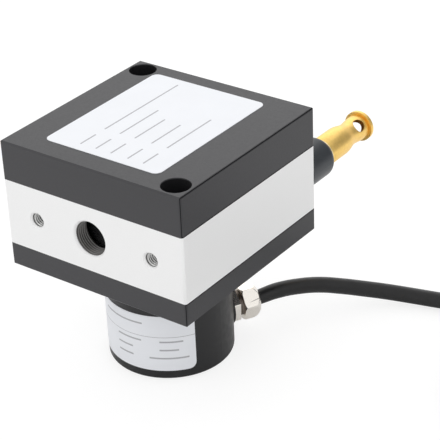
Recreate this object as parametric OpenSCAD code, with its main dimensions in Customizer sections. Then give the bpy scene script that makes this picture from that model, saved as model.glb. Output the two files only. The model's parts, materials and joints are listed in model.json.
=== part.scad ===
// Draw wire encoder: a sprung wire drum in a square body, with a round
// incremental encoder below it.  Origin: centre of the encoder's end face.
// +Z runs up the drum's axis and +Y is the way the wire is pulled.

/* [Body] */
// Width and depth of the square body
body_w = 60; // [59:0.5:64]
// Height of the bottom cover
bottom_h = 7; // [6.5:0.1:9]
// Height of the silver drum housing
middle_h = 19.5; // [19:0.1:22]
// Height of the top cover
top_h = 11.5; // [11:0.1:14]
// Radius of the body's upright edges
corner_r = 0.8; // [0.4:0.1:2]
// Bevel along the covers' free edges
edge_bevel = 0.45; // [0.2:0.05:1]
// Thickness of the top cover above the spring
roof_t = 4.5; // [4:0.1:5]

/* [Cover screws] */
// Distance of the corner screws from the body's sides
screw_inset = 5; // [4.8:0.1:5.2]
// Thread diameter of the long cover screws
long_screw_d = 4; // [3.5:0.1:4]
// Depth of the counterbores in the top cover
counterbore_depth = 8; // [7:0.1:9]
// Diameter of the counterbores in the top cover
counterbore_d = 8; // [7.6:0.1:8.4]
// Thread diameter of the small screws
small_screw_d = 3; // [2.5:0.1:3]
// Length of thread that a screw has in its last piece
thread_grip = 4; // [3:0.1:4.2]

/* [Wire and drum] */
// Length of wire on one turn of the drum
turn_length = 150; // [146:0.5:151]
// Diameter of the measuring wire
wire_d = 0.6; // [0.4:0.05:0.65]
// Number of turns on the drum
turn_count = 20; // [14:1:20]
// Distance between two turns
turn_pitch = 0.66; // [0.66:0.01:0.72]
// Width of the rim on each side of the turns
rim_w = 1.4; // [1:0.1:1.5]
// Height of the rims above the wire's centreline
rim_rise = 0.6; // [0.4:0.05:0.7]
// Thickness of the drum's wall under the wire
drum_wall = 3; // [2:0.1:4]
// Thickness of the drum's web
web_t = 3; // [2:0.1:4]
// Gap between the drum and the housing around it
drum_gap = 0.5; // [0.3:0.05:0.6]

/* [Shaft] */
// Diameter of the drum shaft
shaft_d = 8; // [7:0.1:8.4]
// Diameter of the shaft's upper journal
journal_d = 4; // [3.6:0.1:4.4]
// Diameter of the shaft's clamping flange
shaft_flange_d = 24; // [22:0.5:26]
// Thickness of the shaft's clamping flange
shaft_flange_t = 2.5; // [2:0.1:3]
// Diameter of the shaft's boss inside the drum
shaft_boss_d = 12; // [11:0.1:13]
// Height of the shaft's boss above the clamping flange
shaft_boss_h = 8.5; // [8:0.1:9]
// Outside diameter of the sleeve that grips the spring
arbor_d = 12; // [11:0.1:13]

/* [Bearings] */
// Outside diameter of the lower bearing
lower_bearing_od = 16; // [15:0.1:17]
// Width of the lower bearing
lower_bearing_w = 4; // [3.5:0.1:4.2]
// Outside diameter of the upper bearing
upper_bearing_od = 9; // [8.6:0.1:10]
// Width of the upper bearing
upper_bearing_w = 2.5; // [2.2:0.1:2.8]
// Outside diameter of the encoder's bearings
encoder_bearing_od = 13; // [12:0.1:14]
// Width of the encoder's bearings
encoder_bearing_w = 3.5; // [3:0.1:3.8]

/* [Power spring] */
// Thickness of the spring strip
strip_t = 0.5; // [0.3:0.05:0.7]
// Number of turns of the spring strip
spring_turns = 9; // [6:1:11]
// Thickness of the plate below the spring
spring_plate_t = 0.8; // [0.6:0.05:1]
// Width of the ledge that carries the spring plate
plate_ledge_w = 0.9; // [0.5:0.1:1.2]
// Radius of the pocket that holds the spring
spring_pocket_r = 24.5; // [23:0.1:25]

/* [Wire outlet and clip] */
// Outside diameter of the wire outlet
nose_d = 12; // [11.5:0.1:12.2]
// Length of the wire outlet outside the body
nose_length = 11.5; // [9:0.1:15]
// Radius of the wire outlet's end edge
nose_round = 2; // [0.5:0.1:2.4]
// Thread diameter of the wire outlet
nose_thread_d = 10; // [9:0.1:10]
// Length of the wire outlet's thread
nose_thread_length = 7; // [5:0.1:7.5]
// Outside diameter of the ceramic wire guide
guide_d = 6; // [5:0.1:6.5]
// Length of the ceramic wire guide
guide_length = 5; // [4:0.1:8]
// Length of the end clip
clip_length = 22.4; // [21:0.1:24]
// Diameter of the end clip's barrel
clip_d = 8.6; // [8.2:0.1:9]
// Diameter of the end clip's waist
clip_waist_d = 6.8; // [6.6:0.1:7.2]
// Diameter of the end clip's neck behind its head
clip_neck_d = 7.5; // [7.2:0.1:7.8]
// Diameter of the end clip's head flange
clip_head_d = 9.1; // [8.9:0.1:10]
// Thickness of the end clip's head flange
clip_head_t = 1.5; // [1:0.1:1.8]
// Diameter of the end clip's eye, drilled through one wall into its socket
clip_eye_d = 3.8; // [3:0.1:4.2]
// Diameter of the smaller hole opposite the eye, through the clip's far wall
clip_far_eye_d = 3.2; // [2.6:0.1:3.3]
// Distance of the eye from the clip's outer end
clip_eye_inset = 5; // [4.6:0.1:5.6]
// Angle of the eye above the horizontal
clip_eye_angle = 46; // [0:1:90]
// Diameter of the socket in the end clip's outer end
clip_socket_d = 4.8; // [4.2:0.1:5]
// Depth of the socket in the end clip's outer end
clip_socket_depth = 7.4; // [6.8:0.1:8]
// Depth of the socket's countersink
clip_mouth_depth = 1.3; // [0.5:0.1:1.4]
// Thread diameter of the bush that closes the end clip
bush_d = 4.6; // [4.2:0.1:5]
// Length of the bush inside the end clip
bush_length = 4.4; // [3:0.1:5]
// Thickness of the bush's collar
collar_t = 0.6; // [0.4:0.1:1]
// Diameter of the wire's crimped ferrule
ferrule_d = 3; // [2.4:0.1:3.2]
// Length of the wire's crimped ferrule
ferrule_length = 4.5; // [3:0.1:6]

/* [Threaded holes in the front face] */
// Distance between the two mounting holes
mount_spacing = 38.5; // [37:0.5:39]
// Diameter of the mounting holes
mount_hole_d = 4; // [3.6:0.1:4.4]
// Depth of the mounting holes
mount_hole_depth = 8; // [6:0.1:8]
// Sideways place of the side port
side_port_x = -1; // [-1.5:0.1:1.5]
// Diameter of the side port
side_port_d = 10; // [9:0.1:10.5]
// Width of the bevel at each threaded hole's mouth
mouth_bevel = 0.5; // [0.3:0.05:0.7]

/* [Encoder] */
// Outside diameter of the encoder
encoder_d = 36; // [36:0.1:38]
// Height of the encoder below the body
encoder_h = 32.5; // [32:0.1:36]
// Thickness of the encoder's flange
flange_t = 6; // [5.7:0.1:6.5]
// Height of the light source, which reaches up to the flange's spigot
light_h = 3.7; // [3.2:0.1:4.2]
// Diameter of the flange's pilot boss
pilot_d = 20; // [19:0.1:21]
// Height of the flange's pilot boss
pilot_h = 1.5; // [1.3:0.1:1.6]
// Wall of the encoder housing above the circuit board
encoder_wall = 1.6; // [1.2:0.1:1.6]
// Wall of the encoder housing around the cable gland
gland_wall = 2.8; // [2.4:0.1:3]
// Floor of the encoder housing
encoder_floor = 2; // [1.5:0.1:2.5]
// Rounding of the encoder housing's end edge
encoder_round = 0.8; // [0.4:0.1:1.2]
// Diameter of the encoder shaft
encoder_shaft_d = 6; // [5.4:0.1:6]
// Distance of the encoder's screws from its side
encoder_screw_inset = 4; // [3.8:0.1:4.3]
// Height of the circuit board's underside
board_z = 12.6; // [12.5:0.1:12.8]
// Thickness of the circuit board
board_t = 1.6; // [1:0.1:1.8]
// Room between the code disc and the encoder housing's wall
disc_room = 3.2; // [3.1:0.1:4]
// Thickness of the code disc
disc_t = 0.4; // [0.2:0.05:0.5]
// Number of slots in the code disc
slot_count = 40; // [20:4:48]
// Height of the optical sensor on the board
sensor_h = 2.8; // [2:0.1:3]
// Gap between the code disc and the parts that read it
reading_gap = 0.7; // [0.5:0.05:0.8]

/* [Cable gland] */
// Direction in which the cable leaves, from +X towards +Y
gland_angle = 60; // [50:1:70]
// Height of the cable gland
gland_z = 7.5; // [7.4:0.1:7.6]
// Depth of the gland's flat seat in the encoder's side
gland_seat_depth = 0.7; // [0.6:0.05:0.8]
// Size across the gland's flats
gland_af = 9.2; // [9:0.1:9.6]
// Thickness of the gland's washer
washer_t = 0.8; // [0.5:0.1:1]
// Thickness of the gland body's hexagon
gland_hex_t = 2; // [1.5:0.1:2.4]
// Gap between the gland body's hexagon and the nut
gland_gap = 1.4; // [1:0.1:1.8]
// Length of the gland nut
gland_nut_length = 5.6; // [5.5:0.1:6.4]
// Thread diameter of the gland
gland_thread_d = 7.4; // [7.2:0.1:7.6]
// Diameter of the cable
cable_d = 4.4; // [4:0.1:4.5]

/* [Labels] */
// Thickness of the labels
label_t = 0.12; // [0.08:0.01:0.2]
// Size of the face label across the body
face_label_x = 38; // [30:0.5:40]
// Size of the face label along the wire's direction
face_label_y = 48; // [30:0.5:48]
// Place of the face label's centre across the body
face_label_offset_x = -1.2; // [-3:0.1:0]
// Place of the face label's centre along the wire's direction
face_label_offset_y = 0.8; // [-2:0.1:2]
// Radius of the labels' corners
label_corner_r = 2; // [0.5:0.1:3]
// Height of the encoder label's lower edge
wrap_label_z = 1.5; // [1:0.1:3]
// Height of the encoder label
wrap_label_h = 19.2; // [15:0.1:22]
// Angle where the encoder label starts
wrap_label_from = -170; // [-190:1:-150]
// Angle where the encoder label ends
wrap_label_to = -29.7; // [-35:0.1:-20]

/* [Stored cable] */
// Radius of the stored coil at the middle of its turns
coil_r = 26; // [22:0.5:30]
// Turns of the coil beside each other
coil_columns = 2; // [1:1:2]
// Turns of the coil on each other
coil_rows = 3; // [2:1:4]
// Thickness of the tie's band
tie_t = 0.8; // [0.5:0.1:1]
// Width of the tie's band
tie_w = 6; // [3:0.5:8]
// Number of cores in the cable
core_count = 5; // [3:1:5]
// Diameter of one insulated core
core_d = 0.8; // [0.6:0.05:0.8]
// Distance between two cores laid side by side
core_pitch = 0.86; // [0.84:0.01:0.9]
// Length of cable between the coil and its stripped end
tail_length = 20; // [10:1:30]
// Length of the stripped cores at the cable's end
lead_length = 22; // [10:1:30]
// Length of bare wire at each core's end
bare_length = 5; // [3:0.5:8]

/* [Clearances] */
// Play of a shaft in its bearing, a sleeve on a shaft or a press seat
fit_gap = 0.02; // [0.01:0.01:0.04]
// Play of a screw thread in its hole
thread_gap = 0.05; // [0.03:0.01:0.08]
// Clearance around loose pieces and moving faces
gap = 0.3; // [0.2:0.05:0.35]

/* [Hidden] */
$fn = 96;

// Heights of the body's layers
plate_z = encoder_h;
body_z = plate_z + bottom_h;
cover_z = body_z + middle_h;
top_z = cover_z + top_h;
wire_z = body_z + middle_h / 2;
corner = body_w / 2 - screw_inset;

// Wire and drum
wire_r = turn_length / (2 * PI);
drum_r = wire_r + rim_rise;
cavity_r = drum_r + drum_gap;
groove_depth = turn_pitch / 2;
groove_root_r = wire_r - wire_d / 2 * sqrt(2) - 0.01;
winding_w = turn_count * turn_pitch;
drum_h = winding_w + 2 * rim_w;
drum_z = wire_z - drum_h / 2;
winding_z = drum_z + rim_w;
wire_start_y = sqrt(pow(drum_r + gap, 2) - pow(wire_r - wire_d / 2, 2));

// Shaft stack, from below
pilot_recess = pilot_h + 0.2;
shaft_end_z = plate_z + pilot_recess + 0.1;
lower_bearing_z = body_z - lower_bearing_w;
shaft_flange_z = body_z + 1.7;
web_z = shaft_flange_z + shaft_flange_t;
shaft_boss_z = web_z + shaft_boss_h;
grub_z = shaft_boss_z - 2.5;
roof_z = top_z - roof_t;
journal_end_z = roof_z + upper_bearing_w;
drum_screw_r = (shaft_boss_d + shaft_flange_d) / 4;
clip_ring_t = 0.5;
clip_ring_gap = 0.1;

// Screw heads
long_head_d = 1.75 * long_screw_d;
small_head_d = 1.83 * small_screw_d;
head_recess = small_screw_d + 0.2;
long_seat_z = top_z - counterbore_depth;
long_tip_z = body_z - thread_grip;
short_seat_z = plate_z + head_recess;
short_tip_z = body_z + thread_grip;
encoder_seat_z = body_z - head_recess;
encoder_tip_z = plate_z - thread_grip;

// Power spring
plate_r = spring_pocket_r + plate_ledge_w;
spring_z = cover_z + gap;
strip_w = roof_z - cover_z - 2 * gap;
spring_in_r = arbor_d / 2 + gap;
spring_out_r = spring_pocket_r - strip_t - 0.1;

// Outlet and clip
nose_end_y = body_w / 2 + nose_length;
clip_y = nose_end_y + 0.1;
bush_end_y = clip_y + collar_t + bush_length;
ferrule_y = bush_end_y + 0.1;
wire_bore_d = 3 * wire_d;

// Encoder, from its end face
encoder_r = encoder_d / 2;
seam_z = encoder_h - flange_t;
housing_in_r = encoder_r - encoder_wall;
gland_in_r = encoder_r - gland_wall;
encoder_screw_r = encoder_r - encoder_screw_inset;
pilot_top_z = encoder_h + pilot_h;
encoder_upper_bearing_z = pilot_top_z - encoder_bearing_w - 0.1;
board_top_z = board_z + board_t;
disc_r = housing_in_r - disc_room;
disc_z = board_top_z + sensor_h + reading_gap;
light_z = disc_z + disc_t + reading_gap;
spigot_z = light_z + light_h;
hub_d = encoder_shaft_d + 4;
hub_collar_d = encoder_shaft_d + 1.4;
hub_z = board_top_z + 1.2;
encoder_shaft_low_z = board_top_z + 0.8;
encoder_shaft_top_z = shaft_boss_z - 0.5;
reader_r = disc_r - 4.6;
reader_l = 5.2;
reader_w = 7;
post_r = 1.1;
post_circle_r = disc_r + gap + post_r + 0.3;

// Cable gland, as distances from the encoder's axis
gland_seat = encoder_r - gland_seat_depth;
gland_hex_r = gland_seat + washer_t;
gland_nut_r = gland_hex_r + gland_hex_t + gland_gap;
gland_tip_r = gland_nut_r + gland_nut_length;
gland_bore_d = cable_d + 0.3;
gland_neck_d = gland_thread_d - 0.4;
gland_corner_d = gland_af * 2 / sqrt(3);
gland_thread_r = gland_in_r - 0.4;
seal_r = gland_tip_r - 3.4;
seal_t = 1.7;
dome_h = 3;
body_hex_turn = 3;
nut_hex_turn = 21;
dome_flat_r = cable_d / 2 + 0.6;
cable_start_r = gland_seat + 2.7;

// Coil, tail and the free cable's route, which ends just inside the coil's outer turn
coil_x = 109;
coil_y = 33;
coil_section_w = coil_columns * cable_d;
coil_section_h = coil_rows * cable_d;
tail_x = coil_x + coil_r + cable_d / 2;
tail_z = tie_t + cable_d / 2;
cable_route = concat(
    [for (r = [cable_start_r, gland_tip_r]) [r * cos(gland_angle), r * sin(gland_angle), gland_z]],
    [[17, 29, 8], [21, 34.5, 7.9], [25, 39.5, 7.1], [30, 44, 5.9], [35, 48, 4.6],
        [40, 51.5, 3.5], [46, 54.5, 2.7], [52, 56.7, 2.3], [58, 58.4, 2.2], [67, 59.9, 2.2],
        [77, 60.9, 2.6], [88, 61.2, 4.4], [99, 61.2, 6.4]]);
cable_sides = 12;

// ---------- shared shapes ----------

module rounded_rectangle(x, y, r) {
    square([x - 2 * r, y], center = true);
    square([x, y - 2 * r], center = true);
    for (sx = [-1, 1], sy = [-1, 1])
        translate([sx * (x / 2 - r), sy * (y / 2 - r)])
            circle(r);
}

// Square block whose lower and upper edges are bevelled
module body_block(h, low_bevel, high_bevel) {
    half = body_w / 2;
    profile = [
        [-half + low_bevel, 0], [half - low_bevel, 0], [half, low_bevel], [half, h - high_bevel],
        [half - high_bevel, h], [-half + high_bevel, h], [-half, h - high_bevel], [-half, low_bevel]];
    intersection() {
        linear_extrude(h)
            rounded_rectangle(body_w, body_w, corner_r);
        rotate([90, 0, 0])
            linear_extrude(body_w + 1, center = true)
                polygon(profile);
        rotate([90, 0, 90])
            linear_extrude(body_w + 1, center = true)
                polygon(profile);
    }
}

module tube(r_out, r_in, h) {
    difference() {
        cylinder(r = r_out, h = h);
        translate([0, 0, -1])
            cylinder(r = r_in, h = h + 2);
    }
}

// Threaded hole along +Z from its bevelled mouth at the origin
module threaded_hole(d, depth) {
    translate([0, 0, -1])
        cylinder(d = d, h = depth + 1);
    translate([0, 0, -0.01])
        cylinder(d1 = d + 2 * mouth_bevel, d2 = d, h = mouth_bevel);
}

// Socket head screw: head above the origin, shank below it
module socket_screw(d, head_d, length) {
    difference() {
        union() {
            cylinder(d = head_d, h = d - 0.3);
            translate([0, 0, d - 0.3])
                cylinder(d1 = head_d, d2 = head_d - 0.6, h = 0.3);
            translate([0, 0, -length])
                cylinder(d = d, h = length + 0.1);
        }
        translate([0, 0, d / 2])
            cylinder(d = 0.85 * d * 2 / sqrt(3), h = d, $fn = 6);
    }
}

// The two corners that hold the long screws, and the two that hold the short ones
module long_corners() {
    for (side = [-1, 1])
        translate([side * corner, -side * corner, 0])
            children();
}

module short_corners() {
    for (side = [-1, 1])
        translate([side * corner, side * corner, 0])
            children();
}

module encoder_screw_places() {
    for (a = [90, 210, 330])
        rotate(a)
            translate([encoder_screw_r, 0, 0])
                children();
}

module drum_screw_places() {
    for (a = [0, 120, 240])
        rotate(a)
            translate([drum_screw_r, 0, 0])
                children();
}

// Places its children with +Z along the wire, on the wire's centreline
module on_wire(y) {
    translate([wire_r, y, wire_z])
        rotate([-90, 0, 0])
            children();
}

// Places its children with +Z along the gland's axis, at a distance from the encoder's axis
module on_gland(distance) {
    translate([0, 0, gland_z])
        rotate(gland_angle)
            translate([distance, 0, 0])
                rotate([0, 90, 0])
                    children();
}

// ---------- ball bearings ----------

function ball_r(d_in, d_out) = 0.27 * (d_out - d_in) / 2;
function ball_circle_r(d_in, d_out) = (d_in + d_out) / 4;

module ball_groove(d_in, d_out, w) {
    translate([0, 0, w / 2])
        rotate_extrude()
            translate([ball_circle_r(d_in, d_out), 0])
                circle(ball_r(d_in, d_out) + 0.05, $fn = 48);
}

module bearing_race(d_in, d_out, w) {
    difference() {
        tube(d_out / 2 - fit_gap, ball_circle_r(d_in, d_out) + 0.65 * ball_r(d_in, d_out), w);
        ball_groove(d_in, d_out, w);
    }
}

module bearing_ring(d_in, d_out, w) {
    difference() {
        tube(ball_circle_r(d_in, d_out) - 0.65 * ball_r(d_in, d_out), d_in / 2 + fit_gap, w);
        ball_groove(d_in, d_out, w);
    }
}

module bearing_balls(d_in, d_out, w) {
    for (i = [0 : 6])
        rotate(i * 360 / 7)
            translate([ball_circle_r(d_in, d_out), 0, w / 2])
                sphere(ball_r(d_in, d_out), $fn = 32);
}

// ---------- body ----------

module top_cover() {
    color("#4a4a4c")
        difference() {
            translate([0, 0, cover_z])
                body_block(top_h, 0, edge_bevel);
            translate([0, 0, cover_z - 1])
                cylinder(r = spring_pocket_r, h = roof_z - cover_z + 1);
            translate([0, 0, roof_z - 1])
                cylinder(d = upper_bearing_od, h = upper_bearing_w + 1 + gap);
            long_corners() {
                translate([0, 0, long_seat_z])
                    cylinder(d = counterbore_d, h = counterbore_depth + 1);
                translate([0, 0, cover_z - 1])
                    cylinder(d = long_screw_d + gap, h = top_h);
            }
        }
}

module main_body() {
    color("#dededf")
        difference() {
            translate([0, 0, body_z])
                body_block(middle_h, 0, 0);
            translate([0, 0, body_z - 1])
                cylinder(r = cavity_r, h = middle_h + 2);
            translate([0, 0, cover_z - spring_plate_t])
                cylinder(r = plate_r + fit_gap, h = spring_plate_t + 1);
            long_corners()
                translate([0, 0, body_z - 1])
                    cylinder(d = long_screw_d + gap, h = middle_h + 2);
            short_corners()
                translate([0, 0, body_z - 1])
                    cylinder(d = small_screw_d + 2 * thread_gap, h = thread_grip + 1.3);
            // Wire outlet: threaded seat and the passage into the drum's chamber
            on_wire(body_w / 2 - nose_thread_length - 0.2)
                cylinder(d = nose_thread_d + 2 * thread_gap, h = nose_thread_length + 1);
            on_wire(0)
                cylinder(d = wire_bore_d + 2, h = body_w / 2);
            // Threaded holes in the front face
            for (side = [-1, 1])
                translate([side * mount_spacing / 2, -body_w / 2, wire_z])
                    rotate([-90, 0, 0])
                        threaded_hole(mount_hole_d, mount_hole_depth);
            translate([side_port_x, -body_w / 2, wire_z])
                rotate([-90, 0, 0])
                    threaded_hole(side_port_d, body_w / 2 - wire_r / 2);
        }
}

module bottom_cover() {
    color("#4a4a4c")
        difference() {
            translate([0, 0, plate_z])
                body_block(bottom_h, edge_bevel, 0);
            translate([0, 0, plate_z - 1])
                cylinder(d = pilot_d + 2 * fit_gap, h = pilot_recess + 1);
            translate([0, 0, plate_z])
                cylinder(d = lower_bearing_od - 3, h = bottom_h + 1);
            translate([0, 0, lower_bearing_z])
                cylinder(d = lower_bearing_od, h = lower_bearing_w + 1);
            encoder_screw_places() {
                translate([0, 0, encoder_seat_z])
                    cylinder(d = small_head_d + 2 * gap, h = head_recess + 1);
                translate([0, 0, plate_z - 1])
                    cylinder(d = small_screw_d + gap, h = bottom_h);
            }
            long_corners()
                translate([0, 0, long_tip_z - 0.5])
                    cylinder(d = long_screw_d + 2 * thread_gap, h = thread_grip + 1);
            short_corners() {
                translate([0, 0, plate_z - 1])
                    cylinder(d = small_head_d + 2 * gap, h = head_recess + 1);
                translate([0, 0, plate_z])
                    cylinder(d = small_screw_d + gap, h = bottom_h + 1);
            }
        }
}

module long_cover_screws() {
    color("#1c1c1e")
        long_corners()
            translate([0, 0, long_seat_z])
                socket_screw(long_screw_d, long_head_d, long_seat_z - long_tip_z);
}

module short_cover_screws() {
    color("#1c1c1e")
        short_corners()
            translate([0, 0, short_seat_z])
                rotate([180, 0, 0])
                    socket_screw(small_screw_d, small_head_d, short_tip_z - short_seat_z);
}

module face_label() {
    color("#f2f4f6")
        translate([face_label_offset_x, face_label_offset_y, top_z])
            linear_extrude(label_t)
                rounded_rectangle(face_label_x, face_label_y, label_corner_r);
}

// ---------- wire outlet ----------

module outlet_nose() {
    r = nose_d / 2;
    edge = [for (a = [0 : 15 : 90])
        [r - nose_round + nose_round * cos(a), nose_length - nose_round + nose_round * sin(a)]];
    color("#2b2b2d")
        on_wire(body_w / 2)
            difference() {
                union() {
                    rotate_extrude()
                        polygon(concat([[0, 0], [r, 0]], edge, [[0, nose_length]]));
                    translate([0, 0, -nose_thread_length])
                        cylinder(d = nose_thread_d, h = nose_thread_length + 0.1);
                }
                translate([0, 0, -nose_thread_length - 1])
                    cylinder(d = wire_bore_d + 1.4, h = nose_thread_length + nose_length + 2);
                translate([0, 0, nose_length - guide_length])
                    cylinder(d = guide_d, h = guide_length + 1);
            }
}

module guide_eyelet() {
    flare = wire_bore_d / 2 + 0.8;
    color("#f4f1e8")
        on_wire(nose_end_y - guide_length)
            difference() {
                cylinder(d = guide_d - 2 * fit_gap, h = guide_length - 0.1);
                translate([0, 0, -1])
                    cylinder(d = wire_bore_d, h = guide_length + 2);
                translate([0, 0, -0.01])
                    cylinder(r1 = flare, r2 = wire_bore_d / 2, h = 1);
                translate([0, 0, guide_length - 1.09])
                    cylinder(r1 = wire_bore_d / 2, r2 = flare, h = 1);
            }
}

// ---------- power spring ----------

// Point on the spiral at a turn count t, pushed outwards by offset
function spiral_point(t, push) =
    let (r = spring_in_r + (spring_out_r - spring_in_r) * t / spring_turns + push)
        [r * cos(360 * t), r * sin(360 * t)];

module power_spring() {
    steps = spring_turns * 20;
    inner = [for (i = [0 : steps]) spiral_point(i / 20, 0)];
    outer = [for (i = [steps : -1 : 0]) spiral_point(i / 20, strip_t)];
    color("#8d9096")
        translate([0, 0, spring_z])
            linear_extrude(strip_w)
                polygon(concat(inner, outer));
}

module spring_plate() {
    color("#c9c9c4")
        translate([0, 0, cover_z - spring_plate_t])
            tube(plate_r, arbor_d / 2, spring_plate_t);
}

module spring_arbor() {
    color("#b9bcc0")
        translate([0, 0, spring_z])
            difference() {
                tube(arbor_d / 2, shaft_d / 2 + fit_gap, strip_w);
                translate([0, -strip_t / 2, -1])
                    cube([arbor_d, 2 * strip_t, strip_w + 2]);
            }
}

// ---------- drum and shaft ----------

module drum_shaft() {
    color("#c4c6c9")
        difference() {
            union() {
                translate([0, 0, shaft_end_z])
                    cylinder(d = shaft_d, h = roof_z - gap - shaft_end_z);
                translate([0, 0, shaft_flange_z])
                    cylinder(d = shaft_flange_d, h = shaft_flange_t);
                translate([0, 0, shaft_flange_z])
                    cylinder(d = shaft_boss_d, h = shaft_boss_z - shaft_flange_z);
                translate([0, 0, roof_z - 1])
                    cylinder(d = journal_d, h = journal_end_z - roof_z + 1);
                // Shoulder that the lower bearing's ring seats against
                translate([0, 0, body_z + 0.1])
                    cylinder(d = shaft_d + 1.6, h = shaft_flange_z - body_z);
            }
            translate([0, 0, shaft_end_z - 1])
                cylinder(d = encoder_shaft_d + 2 * fit_gap, h = encoder_shaft_top_z - shaft_end_z + 1.3);
            for (a = [0, 90])
                rotate(a)
                    translate([0, 0, grub_z])
                        rotate([0, 90, 0])
                            cylinder(d = small_screw_d + 2 * thread_gap, h = shaft_boss_d);
            drum_screw_places()
                translate([0, 0, shaft_flange_z - 1])
                    cylinder(d = small_screw_d + 2 * thread_gap, h = shaft_flange_t + 2);
            translate([0, 0, lower_bearing_z - clip_ring_gap - clip_ring_t])
                tube(shaft_d, shaft_d / 2 - 0.3, clip_ring_t + 0.05);
        }
}

module wire_drum() {
    grooves = [for (i = [0 : turn_count - 1], half = [0, 1])
        [groove_root_r + groove_depth * (1 - half), winding_z + (i + half / 2) * turn_pitch]];
    in_r = groove_root_r - drum_wall;
    color("#d9dadc")
        difference() {
            union() {
                rotate_extrude()
                    polygon(concat(
                        [[in_r, drum_z], [drum_r, drum_z], [drum_r, winding_z]],
                        grooves,
                        [[groove_root_r + groove_depth, winding_z + winding_w], [drum_r, winding_z + winding_w],
                            [drum_r, drum_z + drum_h], [in_r, drum_z + drum_h]]));
                translate([0, 0, web_z])
                    tube(in_r + 0.5, shaft_boss_d / 2 + fit_gap, web_t);
            }
            drum_screw_places()
                translate([0, 0, web_z - 1])
                    cylinder(d = small_screw_d + gap, h = web_t + 2);
            for (a = [30 : 60 : 330])
                rotate(a)
                    translate([(in_r + shaft_flange_d / 2) / 2, 0, web_z - 1])
                        cylinder(r = (in_r - shaft_flange_d / 2) / 2 - 1, h = web_t + 2);
        }
}

module wound_wire() {
    color("#a6a8ab")
        for (i = [0 : turn_count - 1])
            translate([0, 0, winding_z + (i + 0.5) * turn_pitch])
                rotate_extrude()
                    translate([wire_r, 0])
                        circle(d = wire_d, $fn = 6);
}

module drum_screws() {
    color("#1c1c1e")
        drum_screw_places()
            translate([0, 0, web_z + web_t])
                socket_screw(small_screw_d, small_head_d, web_t + shaft_flange_t - 0.2);
}

module shaft_clip() {
    color("#5c5f64")
        translate([0, 0, lower_bearing_z - clip_ring_gap - clip_ring_t])
            difference() {
                tube(shaft_d / 2 + 1.5, shaft_d / 2 - 0.3 + fit_gap, clip_ring_t);
                translate([0, -1.2, -1])
                    cube([shaft_d, 2.4, clip_ring_t + 2]);
            }
}

module shaft_grub_screws() {
    reach = shaft_boss_d / 2 - encoder_shaft_d / 2 - gap;
    color("#1c1c1e")
        for (a = [0, 90])
            rotate(a)
                translate([encoder_shaft_d / 2 + 0.05, 0, grub_z])
                    rotate([0, 90, 0])
                        difference() {
                            cylinder(d = small_screw_d, h = reach);
                            translate([0, 0, reach / 2])
                                cylinder(d = small_screw_d / 2, h = reach, $fn = 6);
                        }
}

// ---------- bearings of the drum shaft ----------

module upper_bearing_place() {
    translate([0, 0, roof_z])
        children();
}

module lower_bearing_place() {
    translate([0, 0, lower_bearing_z])
        children();
}

module encoder_bearing_places() {
    for (z = [spigot_z + 0.1, encoder_upper_bearing_z])
        translate([0, 0, z])
            children();
}

module upper_bearing_race() {
    color("#b4b7bb")
        upper_bearing_place()
            bearing_race(journal_d, upper_bearing_od, upper_bearing_w);
}

module upper_bearing_balls() {
    color("#d0d3d7")
        upper_bearing_place()
            bearing_balls(journal_d, upper_bearing_od, upper_bearing_w);
}

module upper_bearing_ring() {
    color("#b4b7bb")
        upper_bearing_place()
            bearing_ring(journal_d, upper_bearing_od, upper_bearing_w);
}

module lower_bearing_race() {
    color("#b4b7bb")
        lower_bearing_place()
            bearing_race(shaft_d, lower_bearing_od, lower_bearing_w);
}

module lower_bearing_balls() {
    color("#d0d3d7")
        lower_bearing_place()
            bearing_balls(shaft_d, lower_bearing_od, lower_bearing_w);
}

module lower_bearing_ring() {
    color("#b4b7bb")
        lower_bearing_place()
            bearing_ring(shaft_d, lower_bearing_od, lower_bearing_w);
}

// ---------- encoder ----------

module encoder_flange() {
    color("#39393b")
        difference() {
            union() {
                translate([0, 0, seam_z])
                    cylinder(r = encoder_r, h = flange_t);
                translate([0, 0, spigot_z])
                    cylinder(r = housing_in_r - fit_gap, h = seam_z - spigot_z + 1);
                translate([0, 0, encoder_h - 1])
                    cylinder(d = pilot_d, h = pilot_h + 1);
            }
            translate([0, 0, spigot_z - 1])
                cylinder(d = encoder_bearing_od - 3.5, h = encoder_h);
            translate([0, 0, spigot_z - 1])
                cylinder(d = encoder_bearing_od, h = encoder_bearing_w + 1.1);
            translate([0, 0, encoder_upper_bearing_z])
                cylinder(d = encoder_bearing_od, h = encoder_bearing_w + 1);
            encoder_screw_places()
                translate([0, 0, encoder_tip_z - 0.5])
                    cylinder(d = small_screw_d + 2 * thread_gap, h = thread_grip + 1);
        }
}

module encoder_housing() {
    edge = [for (a = [-90 : 15 : 0])
        [encoder_r - encoder_round + encoder_round * cos(a), encoder_round + encoder_round * sin(a)]];
    color("#39393b")
        difference() {
            rotate_extrude()
                polygon(concat([[0, 0]], edge, [
                    [encoder_r, seam_z], [housing_in_r, seam_z], [housing_in_r, board_z],
                    [gland_in_r, board_z], [gland_in_r, encoder_floor], [0, encoder_floor]]));
            on_gland(gland_in_r - 1)
                cylinder(d = gland_thread_d + 2 * thread_gap, h = gland_wall + 2);
            on_gland(gland_seat)
                cylinder(d = gland_corner_d + gap, h = gland_wall);
        }
}

// Wrap-round label: a thin shell between two angles
module encoder_label() {
    color("#f2f4f6")
        rotate(wrap_label_from)
            rotate_extrude(angle = wrap_label_to - wrap_label_from)
                translate([encoder_r, wrap_label_z])
                    square([label_t, wrap_label_h]);
}

module encoder_screws() {
    color("#1c1c1e")
        encoder_screw_places()
            translate([0, 0, encoder_seat_z])
                socket_screw(small_screw_d, small_head_d, encoder_seat_z - encoder_tip_z);
}

module encoder_bearing_races() {
    color("#b4b7bb")
        encoder_bearing_places()
            bearing_race(encoder_shaft_d, encoder_bearing_od, encoder_bearing_w);
}

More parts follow.
